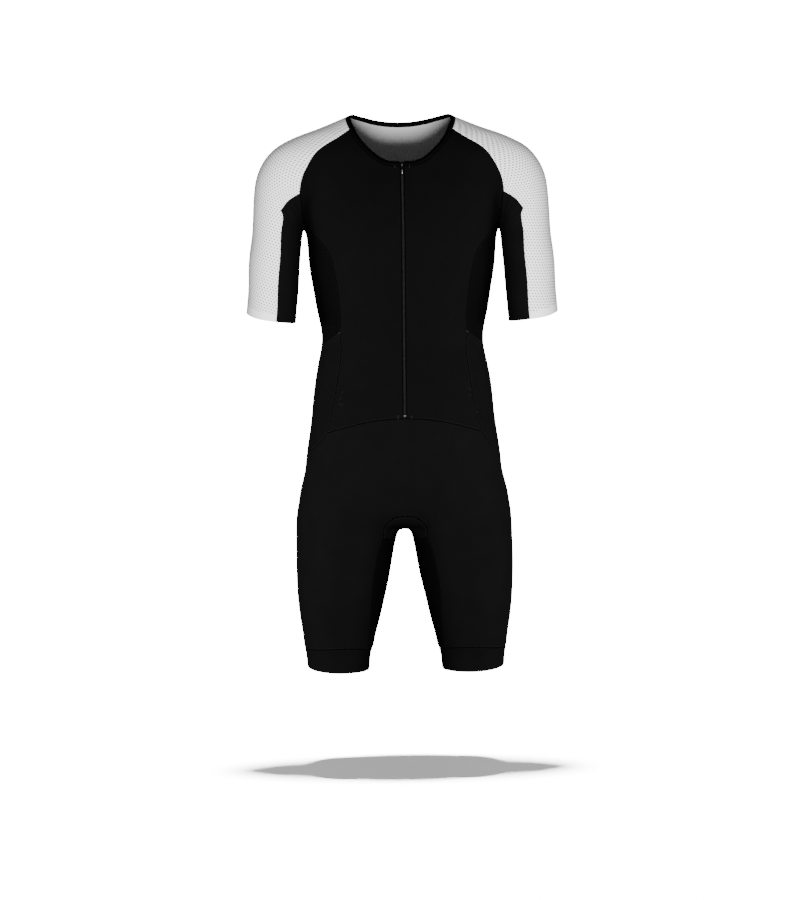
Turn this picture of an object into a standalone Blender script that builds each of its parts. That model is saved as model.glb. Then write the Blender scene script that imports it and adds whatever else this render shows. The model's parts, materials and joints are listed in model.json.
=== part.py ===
"""A short-sleeved triathlon suit in one piece, filled out as it is worn, with its front zip closed.

Metres, +Z up. The front faces -Y and +X is the wearer's left. The origin is on the middle plane at the height of
the shoulders, where the wearer carries the suit.

Every panel of cloth lies on one smooth form: a torso, two arms and two legs, each a stack of oval sections, run
into one another with soft fillets. The seams are smooth lines on that form. A panel is a net of points between
its four sides, and neighbouring panels share the points of their seam, so all seams have the same even gap.
"""

import math
from collections import namedtuple

import bmesh
import bpy
import numpy as np
from mathutils import Matrix, Vector

# ---------------------------------------------------------------- driving sizes

WALL = 0.0012  # lycra and mesh panels
BINDING_WALL = 0.0020  # the neck binding is folded over the edge
GRIPPER_WALL = 0.0016  # elastic of the leg bands
SEAM_GAP = 0.0003  # between neighbouring panels
BINDING_WIDTH = 0.0080
ZIP_HALF = 0.0030  # half the width of the closed chain and its tapes
CHAIN_WALL = 0.0016
CHAIN_TOP = -0.0607  # the highest pair of zip teeth, just under the post of the slider
ARMPIT_FILLET = 0.008
SHOULDER_FILLET = 0.040
HIP_FILLET = 0.012
CROTCH_FILLET = 0.018  # underneath, between the legs
GROIN_FILLET = 0.030  # at the front and the back

# One row for each level of the trunk: how far it reaches to the side, to the front and to the back.
TorsoSection = namedtuple("TorsoSection", "height half_width front back squareness")
TORSO = (
    TorsoSection(0.034, 0.058, -0.020, 0.046, 2.0),
    TorsoSection(0.024, 0.082, -0.030, 0.054, 2.0),
    TorsoSection(0.013, 0.106, -0.040, 0.061, 2.1),
    TorsoSection(0.002, 0.1295, -0.049, 0.067, 2.2),
    TorsoSection(-0.009, 0.152, -0.057, 0.072, 2.3),
    TorsoSection(-0.021, 0.1665, -0.064, 0.077, 2.4),
    TorsoSection(-0.038, 0.183, -0.073, 0.084, 2.4),
    TorsoSection(-0.060, 0.182, -0.082, 0.092, 2.4),
    TorsoSection(-0.090, 0.178, -0.094, 0.102, 2.4),
    TorsoSection(-0.130, 0.172, -0.107, 0.112, 2.4),
    TorsoSection(-0.182, 0.1605, -0.116, 0.116, 2.4),
    TorsoSection(-0.225, 0.157, -0.115, 0.111, 2.35),
    TorsoSection(-0.265, 0.151, -0.110, 0.103, 2.3),
    TorsoSection(-0.306, 0.144, -0.104, 0.096, 2.25),
    TorsoSection(-0.347, 0.1365, -0.100, 0.092, 2.2),
    TorsoSection(-0.362, 0.1370, -0.099, 0.093, 2.2),
    TorsoSection(-0.390, 0.1425, -0.100, 0.095, 2.2),
    TorsoSection(-0.430, 0.1495, -0.102, 0.101, 2.2),
    TorsoSection(-0.470, 0.154, -0.1045, 0.110, 2.25),
    TorsoSection(-0.512, 0.159, -0.1060, 0.119, 2.3),
    TorsoSection(-0.552, 0.165, -0.1055, 0.126, 2.35),
    TorsoSection(-0.593, 0.170, -0.1020, 0.128, 2.4),
    TorsoSection(-0.624, 0.172, -0.0950, 0.121, 2.4),
    TorsoSection(-0.643, 0.164, -0.0870, 0.111, 2.4),
    TorsoSection(-0.658, 0.140, -0.0750, 0.096, 2.35),
    TorsoSection(-0.668, 0.100, -0.0580, 0.077, 2.3),
    TorsoSection(-0.674, 0.060, -0.0360, 0.050, 2.3),
)

# One row for each place along the left arm, from inside the shoulder to past the cuff.
ArmSection = namedtuple("ArmSection", "across height half_thickness half_depth middle")
ARM = (
    ArmSection(0.105, -0.050, 0.040, 0.044, 0.008),
    ArmSection(0.150, -0.059, 0.046, 0.054, 0.006),
    ArmSection(0.179, -0.071, 0.0508, 0.058, 0.005),
    ArmSection(0.195, -0.088, 0.0486, 0.060, 0.004),
    ArmSection(0.2035, -0.114, 0.0453, 0.062, 0.003),
    ArmSection(0.2078, -0.150, 0.0432, 0.062, 0.002),
    ArmSection(0.2104, -0.184, 0.0426, 0.061, 0.001),
    ArmSection(0.2150, -0.224, 0.0432, 0.059, 0.000),
    ArmSection(0.2173, -0.265, 0.0426, 0.057, -0.001),
    ArmSection(0.2210, -0.306, 0.0423, 0.055, -0.002),
    ArmSection(0.2245, -0.345, 0.0424, 0.053, -0.002),
)

# One row for each level of the left leg: where it starts and ends across, at the front and at the back.
LegSection = namedtuple("LegSection", "height inner outer front back squareness")
LEG = (
    LegSection(-0.560, 0.0115, 0.1500, -0.0700, 0.0860, 2.2),
    LegSection(-0.590, 0.0115, 0.1660, -0.0840, 0.1050, 2.2),
    LegSection(-0.620, 0.0118, 0.1765, -0.0925, 0.1140, 2.2),
    LegSection(-0.650, 0.0122, 0.1825, -0.0955, 0.1160, 2.2),
    LegSection(-0.684, 0.0140, 0.1845, -0.0950, 0.1110, 2.15),
    LegSection(-0.702, 0.0176, 0.1847, -0.0945, 0.1065, 2.1),
    LegSection(-0.734, 0.0233, 0.1850, -0.0930, 0.0980, 2.05),
    LegSection(-0.768, 0.0292, 0.1845, -0.0900, 0.0890, 2.0),
    LegSection(-0.797, 0.0358, 0.1830, -0.087, 0.081, 2.0),
    LegSection(-0.836, 0.0452, 0.1781, -0.080, 0.071, 2.0),
    LegSection(-0.868, 0.0530, 0.1738, -0.0740, 0.0635, 2.0),
    LegSection(-0.876, 0.0548, 0.1730, -0.0728, 0.0618, 2.0),
    LegSection(-0.884, 0.0578, 0.1715, -0.0705, 0.0596, 2.0),
    LegSection(-0.911, 0.0622, 0.1684, -0.0675, 0.0570, 2.0),
    LegSection(-0.940, 0.0660, 0.1660, -0.0640, 0.0545, 2.0),
)

# ---------------------------------------------------------------- seams of the left half

FRONT, BACK = -1.0, 1.0  # in the column "along": on the front or the back face, wherever that is

SeamPoint = namedtuple("SeamPoint", "across along height")

# The neck edge, in its three stretches: front, over the shoulder, and back.
NECK_FRONT = (
    SeamPoint(ZIP_HALF, FRONT, -0.0545),
    SeamPoint(0.0266, FRONT, -0.0520),
    SeamPoint(0.0415, FRONT, -0.0435),
    SeamPoint(0.0585, FRONT, -0.0280),
    SeamPoint(0.0755, FRONT, -0.0050),
)
NECK_SIDE = (
    SeamPoint(0.0755, FRONT, -0.0050),
    SeamPoint(0.0825, -0.024, 0.0110),
    SeamPoint(0.0835, 0.006, 0.0225),
    SeamPoint(0.0700, 0.036, 0.0190),
    SeamPoint(0.0450, 0.054, 0.0135),
)
NECK_BACK = (
    SeamPoint(0.0450, 0.054, 0.0135),
    SeamPoint(0.0240, 0.061, 0.0110),
    SeamPoint(0.0000, 0.063, 0.0100),
)
RAGLAN_FRONT = (
    SeamPoint(0.1055, FRONT, -0.0131),
    SeamPoint(0.1220, FRONT, -0.0225),
    SeamPoint(0.1410, FRONT, -0.0360),
    SeamPoint(0.1522, FRONT, -0.0508),
    SeamPoint(0.1611, FRONT, -0.0669),
    SeamPoint(0.1679, FRONT, -0.0846),
    SeamPoint(0.1713, FRONT, -0.1067),
)
RAGLAN_BACK = (
    SeamPoint(0.0740, BACK, -0.0060),
    SeamPoint(0.1000, BACK, -0.0250),
    SeamPoint(0.1240, BACK, -0.0470),
    SeamPoint(0.1450, BACK, -0.0730),
    SeamPoint(0.1620, BACK, -0.1000),
    SeamPoint(0.1690, BACK, -0.1170),
)
# The black underarm panel swings out of the raglan seam in an arch, and its edges then run down the sleeve.
SLEEVE_ARCH_FRONT = (
    SeamPoint(0.1713, FRONT, -0.1067),
    SeamPoint(0.1800, FRONT, -0.1090),
    SeamPoint(0.1890, FRONT, -0.1145),
    SeamPoint(0.1965, FRONT, -0.1225),
    SeamPoint(0.2010, FRONT, -0.1345),
)
SLEEVE_ARCH_BACK = (
    SeamPoint(0.1690, BACK, -0.1170),
    SeamPoint(0.1780, BACK, -0.1195),
    SeamPoint(0.1880, BACK, -0.1250),
    SeamPoint(0.1960, BACK, -0.1350),
    SeamPoint(0.2010, BACK, -0.1480),
)
SLEEVE_SEAM_FRONT = (
    SeamPoint(0.2010, FRONT, -0.1345),
    SeamPoint(0.2028, FRONT, -0.1600),
    SeamPoint(0.2042, FRONT, -0.1990),
    SeamPoint(0.2088, FRONT, -0.2550),
    SeamPoint(0.2115, FRONT, -0.3070),
    SeamPoint(0.2130, FRONT, -0.3210),
)
SLEEVE_SEAM_BACK = (
    SeamPoint(0.2010, BACK, -0.1480),
    SeamPoint(0.2035, BACK, -0.1750),
    SeamPoint(0.2060, BACK, -0.2100),
    SeamPoint(0.2095, BACK, -0.2550),
    SeamPoint(0.2125, BACK, -0.3070),
    SeamPoint(0.2140, BACK, -0.3210),
)
CUFF_OUTER = (
    SeamPoint(0.2130, FRONT, -0.3210),
    SeamPoint(0.2420, FRONT, -0.3165),
    SeamPoint(0.2640, -0.002, -0.3090),
    SeamPoint(0.2420, BACK, -0.3165),
    SeamPoint(0.2140, BACK, -0.3210),
)
CUFF_INNER = (
    SeamPoint(0.2130, FRONT, -0.3210),
    SeamPoint(0.1930, FRONT, -0.3240),
    SeamPoint(0.1800, -0.002, -0.3260),
    SeamPoint(0.1930, BACK, -0.3240),
    SeamPoint(0.2140, BACK, -0.3210),
)
# Under the arm the seam lies in the bottom of the groove between the sleeve and the trunk.
ARMHOLE_FRONT = (
    SeamPoint(0.1713, FRONT, -0.1067),
    SeamPoint(0.1688, -0.0435, -0.1230),
    SeamPoint(0.1672, -0.0310, -0.1450),
)
ARMHOLE_UNDER = (
    SeamPoint(0.1672, -0.0310, -0.1450),
    SeamPoint(0.1655, -0.0150, -0.1655),
    SeamPoint(0.1645, 0.0010, -0.1720),
    SeamPoint(0.1652, 0.0170, -0.1665),
    SeamPoint(0.1668, 0.0340, -0.1465),
)
ARMHOLE_BACK = (
    SeamPoint(0.1668, 0.0340, -0.1465),
    SeamPoint(0.1680, 0.0440, -0.1315),
    SeamPoint(0.1690, BACK, -0.1170),
)
SIDE_FRONT = (
    SeamPoint(0.1672, -0.0310, -0.1450),
    SeamPoint(0.1560, FRONT, -0.1600),
    SeamPoint(0.1420, FRONT, -0.1790),
    SeamPoint(0.1300, FRONT, -0.1930),
    SeamPoint(0.1200, FRONT, -0.2110),
    SeamPoint(0.1150, FRONT, -0.2320),
    SeamPoint(0.1110, FRONT, -0.2550),
    SeamPoint(0.1077, FRONT, -0.2880),
    SeamPoint(0.1058, FRONT, -0.3190),
    SeamPoint(0.1075, FRONT, -0.3366),
)
SIDE_BACK = (
    SeamPoint(0.1668, 0.0340, -0.1465),
    SeamPoint(0.1580, BACK, -0.1580),
    SeamPoint(0.1450, BACK, -0.1820),
    SeamPoint(0.1290, BACK, -0.2150),
    SeamPoint(0.1160, BACK, -0.2600),
    SeamPoint(0.1070, BACK, -0.3100),
    SeamPoint(0.1010, BACK, -0.3800),
)
POCKET_MOUTH = (
    SeamPoint(0.1075, FRONT, -0.3366),
    SeamPoint(0.1200, FRONT, -0.3480),
    SeamPoint(0.1385, 0.000, -0.3660),
    SeamPoint(0.1210, BACK, -0.3770),
    SeamPoint(0.1010, BACK, -0.3800),
)
POCKET_FRONT = (
    SeamPoint(0.1075, FRONT, -0.3366),
    SeamPoint(0.1046, FRONT, -0.3710),
    SeamPoint(0.1093, FRONT, -0.4060),
    SeamPoint(0.1158, FRONT, -0.4450),
    SeamPoint(0.1240, FRONT, -0.4830),
    SeamPoint(0.1300, FRONT, -0.5080),
)
POCKET_BACK = (
    SeamPoint(0.1010, BACK, -0.3800),
    SeamPoint(0.1030, BACK, -0.4300),
    SeamPoint(0.1130, BACK, -0.4900),
    SeamPoint(0.1280, BACK, -0.5480),
)
WAIST_FRONT = (
    SeamPoint(0.0000, FRONT, -0.4815),
    SeamPoint(0.0500, FRONT, -0.4856),
    SeamPoint(0.0910, FRONT, -0.4950),
    SeamPoint(0.1300, FRONT, -0.5080),
)
WAIST_SIDE = (
    SeamPoint(0.1300, FRONT, -0.5080),
    SeamPoint(0.1400, FRONT, -0.5230),
    SeamPoint(0.1550, FRONT, -0.5380),
    SeamPoint(0.1645, 0.010, -0.5480),
    SeamPoint(0.1500, BACK, -0.5500),
    SeamPoint(0.1280, BACK, -0.5480),
)
WAIST_BACK = (
    SeamPoint(0.0000, BACK, -0.5300),
    SeamPoint(0.0600, BACK, -0.5350),
    SeamPoint(0.1280, BACK, -0.5480),
)
YOKE = (
    SeamPoint(0.0000, BACK, -0.1500),
    SeamPoint(0.0800, BACK, -0.1430),
    SeamPoint(0.1300, BACK, -0.1310),
    SeamPoint(0.1690, BACK, -0.1170),
)
OUTER_LEG = (
    SeamPoint(0.1280, BACK, -0.5480),
    SeamPoint(0.1420, BACK, -0.6200),
    SeamPoint(0.1520, BACK, -0.7000),
    SeamPoint(0.1570, BACK, -0.7800),
    SeamPoint(0.1530, BACK, -0.8800),
)
GUSSET_FRONT = (
    SeamPoint(0.0000, FRONT, -0.6476),
    SeamPoint(0.0150, FRONT, -0.6492),
    SeamPoint(0.0280, FRONT, -0.6575),
    SeamPoint(0.0360, FRONT, -0.6690),
    SeamPoint(0.0376, FRONT, -0.6885),
)
GUSSET_BACK = (
    SeamPoint(0.0000, BACK, -0.6460),
    SeamPoint(0.0150, BACK, -0.6490),
    SeamPoint(0.0280, BACK, -0.6580),
    SeamPoint(0.0350, BACK, -0.6700),
    SeamPoint(0.0370, BACK, -0.6885),
)
GUSSET_SIDE = (
    SeamPoint(0.0376, FRONT, -0.6885),
    SeamPoint(0.0215, -0.050, -0.6950),
    SeamPoint(0.0170, 0.006, -0.6965),
    SeamPoint(0.0215, 0.060, -0.6950),
    SeamPoint(0.0370, BACK, -0.6885),
)
INNER_LEG_FRONT = (
    SeamPoint(0.0376, FRONT, -0.6885),
    SeamPoint(0.0458, FRONT, -0.7108),
    SeamPoint(0.0510, FRONT, -0.7350),
    SeamPoint(0.0556, FRONT, -0.7620),
    SeamPoint(0.0580, FRONT, -0.7960),
    SeamPoint(0.0640, FRONT, -0.8790),
)
INNER_LEG_BACK = (
    SeamPoint(0.0370, BACK, -0.6885),
    SeamPoint(0.0460, BACK, -0.7120),
    SeamPoint(0.0530, BACK, -0.7450),
    SeamPoint(0.0580, BACK, -0.7960),
    SeamPoint(0.0640, BACK, -0.8800),
)
BAND_TOP_OUTER = (
    SeamPoint(0.0640, FRONT, -0.8790),
    SeamPoint(0.0850, FRONT, -0.8755),
    SeamPoint(0.1140, FRONT, -0.8740),
    SeamPoint(0.1480, FRONT, -0.8770),
    SeamPoint(0.1722, 0.000, -0.8800),
    SeamPoint(0.1530, BACK, -0.8800),
)
BAND_TOP_BACK = (
    SeamPoint(0.1530, BACK, -0.8800),
    SeamPoint(0.1140, BACK, -0.8790),
    SeamPoint(0.0640, BACK, -0.8800),
)
BAND_TOP_INNER = (
    SeamPoint(0.0640, FRONT, -0.8790),
    SeamPoint(0.0560, -0.005, -0.8805),
    SeamPoint(0.0640, BACK, -0.8800),
)
HEM_OUTER = (
    SeamPoint(0.0680, FRONT, -0.9180),
    SeamPoint(0.0880, FRONT, -0.9175),
    SeamPoint(0.1150, FRONT, -0.9170),
    SeamPoint(0.1450, FRONT, -0.9155),
    SeamPoint(0.1680, -0.004, -0.9130),
    SeamPoint(0.1500, BACK, -0.9130),
)
HEM_BACK = (
    SeamPoint(0.1500, BACK, -0.9130),
    SeamPoint(0.1150, BACK, -0.9150),
    SeamPoint(0.0680, BACK, -0.9175),
)
HEM_INNER = (
    SeamPoint(0.0680, FRONT, -0.9180),
    SeamPoint(0.0632, -0.004, -0.9185),
    SeamPoint(0.0680, BACK, -0.9175),
)
# Where the rows of the front cross its straight edge at the zip, level with the corners of the outer edge.
ZIP_LEVELS = (-0.1380, -0.1640, -0.3440)
BACK_LEVELS = (-0.1780, -0.3850)
CROTCH_LINE = (
    SeamPoint(0.0, FRONT, -0.6476),
    SeamPoint(0.0, -0.072, -0.6660),
    SeamPoint(0.0, -0.030, -0.6800),
    SeamPoint(0.0, 0.040, -0.6800),
    SeamPoint(0.0, 0.086, -0.6660),
    SeamPoint(0.0, BACK, -0.6460),
)

# The zip's hardware sits in a frame of its own on the chest: x across, y up the cloth, z out of it.
HARDWARE_LEVEL = -0.0622
SLIDER_CLEARANCE = 0.00035  # from the chain to the front plate
SLIDER_WALL = 0.0013  # each plate of the slider
BACK_PLATE_FACE = -0.0023  # behind the binding
POST_WIDTH, POST_LOW, POST_HIGH = 0.0024, 0.0023, 0.0045
HINGE_UP, HINGE_OUT = -0.0030, 0.00275
BAIL_RADIUS, BAIL_WIRE = 0.0016, 0.00055
PULL_WALL = 0.0011
PULL_TILT = math.radians(7)  # the pull lies back towards the cloth
EYE_HALF_WIDTH, EYE_TOP, EYE_BOTTOM = 0.0013, -0.00055, -0.0031
STOP_LEVEL = -0.4770
STOP_WIDTH, STOP_LENGTH, STOP_WALL = 0.0050, 0.0025, 0.0012

# Halves of the outlines on one side of the middle, from the top to the bottom.
OutlinePoint = namedtuple("OutlinePoint", "across up")
SLIDER_OUTLINE = (
    OutlinePoint(0.0024, 0.0049),
    OutlinePoint(0.0038, 0.0044),
    OutlinePoint(0.0043, 0.0031),
    OutlinePoint(0.0042, 0.0012),
    OutlinePoint(0.0034, -0.0022),
    OutlinePoint(0.0033, -0.0040),
    OutlinePoint(0.0028, -0.0050),
    OutlinePoint(0.0015, -0.0054),
)
PULL_OUTLINE = (
    OutlinePoint(0.0016, 0.00055),
    OutlinePoint(0.0023, 0.0001),
    OutlinePoint(0.0024, -0.0020),
    OutlinePoint(0.0026, -0.0045),
    OutlinePoint(0.0031, -0.0075),
    OutlinePoint(0.0034, -0.0102),
    OutlinePoint(0.0031, -0.0116),
    OutlinePoint(0.0019, -0.0126),
)

# How many faces each stretch of seam is divided into.
FACES = {
    "neck_front": 6,
    "neck_side": 8,
    "neck_back": 5,
    "raglan": 8,
    "arch": 4,
    "sleeve_seam": 8,
    "armhole": 2,
    "armhole_under": 6,
    "side": 8,
    "pocket": 7,
    "centre": 7,
    "gusset": 5,
    "gusset_side": 6,
    "inner_leg": 8,
    "band": 2,
}

# Lines inside the form that the panels are spread around, as (across, height).
TRUNK_LINE = ((0.0, 0.06), (0.0, -0.95))
LEG_LINE = ((0.090, -0.46), (0.092, -0.66), (0.104, -0.76), (0.115, -0.95))
SLEEVE_LINE = (
    (0.075, -0.030),
    (0.125, -0.048),
    (0.170, -0.080),
    (0.194, -0.125),
    (0.206, -0.180),
    (0.216, -0.260),
    (0.224, -0.345),
)
OUTWARD, INWARD = 0.0, math.pi  # which way a panel faces from its line

# ---------------------------------------------------------------- colours

Finish = namedtuple("Finish", "red green blue roughness metallic")
FINISHES = {
    "black_lycra": Finish(0.0075, 0.0075, 0.0080, 0.62, 0.0),
    "black_mesh": Finish(0.0045, 0.0045, 0.0050, 0.72, 0.0),
    "white_mesh": Finish(0.80, 0.81, 0.82, 0.70, 0.0),
    "gripper_elastic": Finish(0.0060, 0.0060, 0.0065, 0.58, 0.0),
    "neck_binding": Finish(0.0040, 0.0040, 0.0045, 0.66, 0.0),
    "zip_coil": Finish(0.0200, 0.0200, 0.0215, 0.42, 0.0),
    "zip_metal": Finish(0.0350, 0.0350, 0.0370, 0.34, 1.0),
}

# ---------------------------------------------------------------- smooth tables and lines


class SmoothTable:
    """The columns of a table as natural cubic splines of its first column."""

    def __init__(self, rows):
        data = np.array(rows, float)
        data = data[np.argsort(data[:, 0])]
        self.key, self.values = data[:, 0], data[:, 1:]
        step = np.diff(self.key)
        count = len(self.key)
        system = np.eye(count)
        right = np.zeros_like(self.values)
        for i in range(1, count - 1):
            system[i, i - 1 : i + 2] = step[i - 1], 2 * (step[i - 1] + step[i]), step[i]
            rise = (self.values[i + 1] - self.values[i]) / step[i]
            right[i] = 6 * (rise - (self.values[i] - self.values[i - 1]) / step[i - 1])
        self.bend = np.linalg.solve(system, right)

    def at(self, key):
        key = np.clip(key, self.key[0], self.key[-1])
        i = np.clip(np.searchsorted(self.key, key) - 1, 0, len(self.key) - 2)
        step = (self.key[i + 1] - self.key[i])[:, None]
        up = (key - self.key[i])[:, None] / step
        down = 1 - up
        straight = down * self.values[i] + up * self.values[i + 1]
        curl = (down**3 - down) * self.bend[i] + (up**3 - up) * self.bend[i + 1]
        return straight + curl * step**2 / 6


def spline(points, count):
    """count points along the smooth line through the given ones."""
    points = np.asarray(points, float)
    lengths = np.linalg.norm(np.diff(points, axis=0), axis=1)
    key = np.concatenate([[0.0], np.cumsum(lengths)])
    table = SmoothTable(np.column_stack([key, points]))
    return table.at(np.linspace(0.0, key[-1], count))


def evenly(points, count):
    """count points at equal steps along a finely divided line."""
    lengths = np.linalg.norm(np.diff(points, axis=0), axis=1)
    walked = np.concatenate([[0.0], np.cumsum(lengths)])
    wanted = np.linspace(0.0, walked[-1], count)
    return np.column_stack([np.interp(wanted, walked, column) for column in points.T])


# ---------------------------------------------------------------- the form

TORSO_TABLE = SmoothTable(TORSO)
LEG_TABLE = SmoothTable(LEG)
ARM_STEPS = np.diff([(row.across, row.height) for row in ARM], axis=0)
ARM_WALK = np.concatenate([[0.0], np.cumsum(np.hypot(*ARM_STEPS.T))])
ARM_TABLE = SmoothTable(np.column_stack([ARM_WALK, ARM]))
ARM_PLACES = np.linspace(0.0, ARM_WALK[-1], 61)
ARM_POINTS = ARM_TABLE.at(ARM_PLACES)[:, :2]
ARM_SQUARENESS = 2.15
TORSO_TOP, TORSO_BOTTOM = TORSO[0].height, TORSO[-1].height
BOTTOM_ROUNDING = 0.010
LEG_PARTING = 0.008  # rounds the form where the legs part


def oval(across, along, half_width, half_depth, squareness):
    """How far outside an oval a point lies, measured from the oval's middle."""
    share = np.abs(across / half_width) ** squareness + np.abs(along / half_depth) ** squareness
    share = np.maximum(share, 1e-12) ** (1 / squareness)
    return np.hypot(across, along) * (1 - 1 / share)


def soft_union(a, b, fillet):
    share = np.clip(0.5 + 0.5 * (b - a) / fillet, 0.0, 1.0)
    return b + (a - b) * share - fillet * share * (1 - share)


def fade(value, zero_at, one_at):
    share = np.clip((value - zero_at) / (one_at - zero_at), 0.0, 1.0)
    return share * share * (3 - 2 * share)


def torso(x, y, z):
    half_width, front, back, squareness = TORSO_TABLE.at(z).T
    inside = oval(x, y - (front + back) / 2, half_width, (back - front) / 2, squareness)
    below = TORSO_BOTTOM - z
    closed = -soft_union(-inside, -below, BOTTOM_ROUNDING)
    return np.maximum(closed, z - TORSO_TOP)


def arm(x, y, z):
    """Measured from the nearest place on the arm's bent middle line, found by Newton's method."""
    flat = np.column_stack([x, z])
    nearest = ((flat[:, None] - ARM_POINTS) ** 2).sum(2).argmin(1)
    step = 0.0005
    place = ARM_PLACES[nearest]
    for _ in range(3):
        place = np.clip(place, step, ARM_WALK[-1] - step)
        before, here, after = (ARM_TABLE.at(place + shift)[:, :2] for shift in (-step, 0.0, step))
        run = (after - before) / (2 * step)
        bend = (after - 2 * here + before) / step**2
        miss = flat - here
        place += (miss * run).sum(1) / np.maximum((run**2).sum(1) - (miss * bend).sum(1), 0.2)
    here = ARM_TABLE.at(np.clip(place, 0.0, ARM_WALK[-1]))
    away = np.linalg.norm(flat - here[:, :2], axis=1)
    return oval(away, y - here[:, 4], here[:, 2], here[:, 3], ARM_SQUARENESS)


def leg(x, y, z):
    inner, outer, front, back, squareness = LEG_TABLE.at(z).T
    across = np.sqrt(x**2 + LEG_PARTING**2) - (inner + outer) / 2
    along = y - (front + back) / 2
    inside = oval(across, along, (outer - inner) / 2, (back - front) / 2, squareness)
    return np.maximum(inside, z - LEG[0].height)


def trunk_alone(points):
    return torso(np.abs(points[:, 0]), points[:, 1], points[:, 2])


def arm_alone(points):
    return arm(np.abs(points[:, 0]), points[:, 1], points[:, 2])


def form(points):
    """Below zero inside the filled suit, above zero outside, and close to a distance near its surface."""
    x, y, z = np.abs(points[:, 0]), points[:, 1], points[:, 2]
    shoulder = fade(z, -0.150, -0.070)
    fillet = ARMPIT_FILLET + (SHOULDER_FILLET - ARMPIT_FILLET) * shoulder
    upper = soft_union(torso(x, y, z), arm(x, y, z), fillet)
    between_legs = fade(x, 0.120, 0.050)
    at_groin = fade(np.abs(y - 0.010), 0.030, 0.080)
    crotch = CROTCH_FILLET + (GROIN_FILLET - CROTCH_FILLET) * at_groin
    return soft_union(upper, leg(x, y, z), HIP_FILLET + (crotch - HIP_FILLET) * between_legs)


def slope(points, shape=form):
    tiny = 2e-5
    columns = []
    for axis in np.eye(3):
        rise = shape(points + tiny * axis) - shape(points - tiny * axis)
        columns.append(rise / (2 * tiny))
    return np.column_stack(columns)


def onto_form(points, shape=form):
    """The points moved along the shape's slope until they lie on its surface."""
    points = np.array(points, float)
    longest_move = 0.02
    for _ in range(14):
        direction = slope(points, shape)
        move = shape(points) / np.maximum((direction**2).sum(1), 0.05)
        move = move[:, None] * direction
        length = np.maximum(np.linalg.norm(move, axis=1), 1e-12)
        points -= move * np.minimum(1.0, longest_move / length)[:, None]
    return points


def outward(points):
    direction = slope(points)
    return direction / np.linalg.norm(direction, axis=1)[:, None]


def depth_on_face(across, height, face):
    """Where the front or back face of the form lies, at one place across and up."""
    reach = np.linspace(0.22, -0.06, 141)
    column = np.column_stack([np.full(141, across), face * reach, np.full(141, height)])
    first = int((form(column) < 0).argmax())
    low, high = reach[first], reach[first - 1]
    for _ in range(24):
        middle = (low + high) / 2
        if form(np.array([[across, face * middle, height]]))[0] < 0:
            low = middle
        else:
            high = middle
    return face * low


def seam(rows, faces):
    """faces + 1 points at equal steps along a seam, all on the form."""
    given = []
    for row in rows:
        on_face = abs(row.along) == BACK
        along = depth_on_face(row.across, row.height, row.along) if on_face else row.along
        given.append((row.across, along, row.height))
    fine = onto_form(spline(onto_form(given), 12 * faces + 1))
    return onto_form(evenly(fine, faces + 1))


def moved_to(points, across):
    """The points with their place across set, and put back on the form's front or back there."""
    points = points.copy()
    points[:, 0] = across
    for row in points:
        row[1] = depth_on_face(row[0], row[2], math.copysign(1.0, row[1]))
    return points


def into_groove(points):
    """The points moved to the bottom of the groove beside the sleeve, where the form faces neither side."""
    longest_step = 0.0008
    for _ in range(30):
        points = onto_form(points + longest_step * outward(points) * (1.0, 0.0, 0.0))
    return points


def lower_edge(neck_edge):
    """The neck edge moved down the form by the width of the binding."""
    along = np.gradient(neck_edge, axis=0)
    down = np.cross(along, outward(neck_edge))
    down /= np.linalg.norm(down, axis=1)[:, None]
    return onto_form(neck_edge + BINDING_WIDTH * down)


def joined(*stretches):
    """Stretches laid end to end as one side of a panel."""
    parts = [stretches[0]]
    for stretch in stretches[1:]:
        parts.append(stretch[1:])
    return np.vstack(parts)


# ---------------------------------------------------------------- panels


class SpreadLine:
    """A line in the XZ plane, with each point of space given by its place along, its turn round and its reach."""

    def __init__(self, points):
        flat = spline(points, 201) if len(points) > 2 else np.linspace(points[0], points[1], 201)
        self.points = flat
        run = np.gradient(flat, axis=0)
        run /= np.linalg.norm(run, axis=1)[:, None]
        self.normals = np.column_stack([-run[:, 1], run[:, 0]])

    def read(self, points, facing):
        gap = points[:, None, [0, 2]] - self.points
        nearest = (gap**2).sum(2).argmin(1)
        rows = np.arange(len(points))
        out = (gap[rows, nearest] * self.normals[nearest]).sum(1)
        turn = np.arctan2(points[:, 1], out) - facing
        turn = (turn + math.pi) % (2 * math.pi) - math.pi
        return np.column_stack([nearest.astype(float), turn, np.hypot(out, points[:, 1])])

    def write(self, places, facing):
        index = np.arange(len(self.points))
        middle = [np.interp(places[:, 0], index, column) for column in self.points.T]
        normal = [np.interp(places[:, 0], index, column) for column in self.normals.T]
        turn = places[:, 1] + facing
        out = places[:, 2] * np.cos(turn)
        return np.column_stack(
            [middle[0] + out * normal[0], places[:, 2] * np.sin(turn), middle[1] + out * normal[1]]
        )


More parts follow.
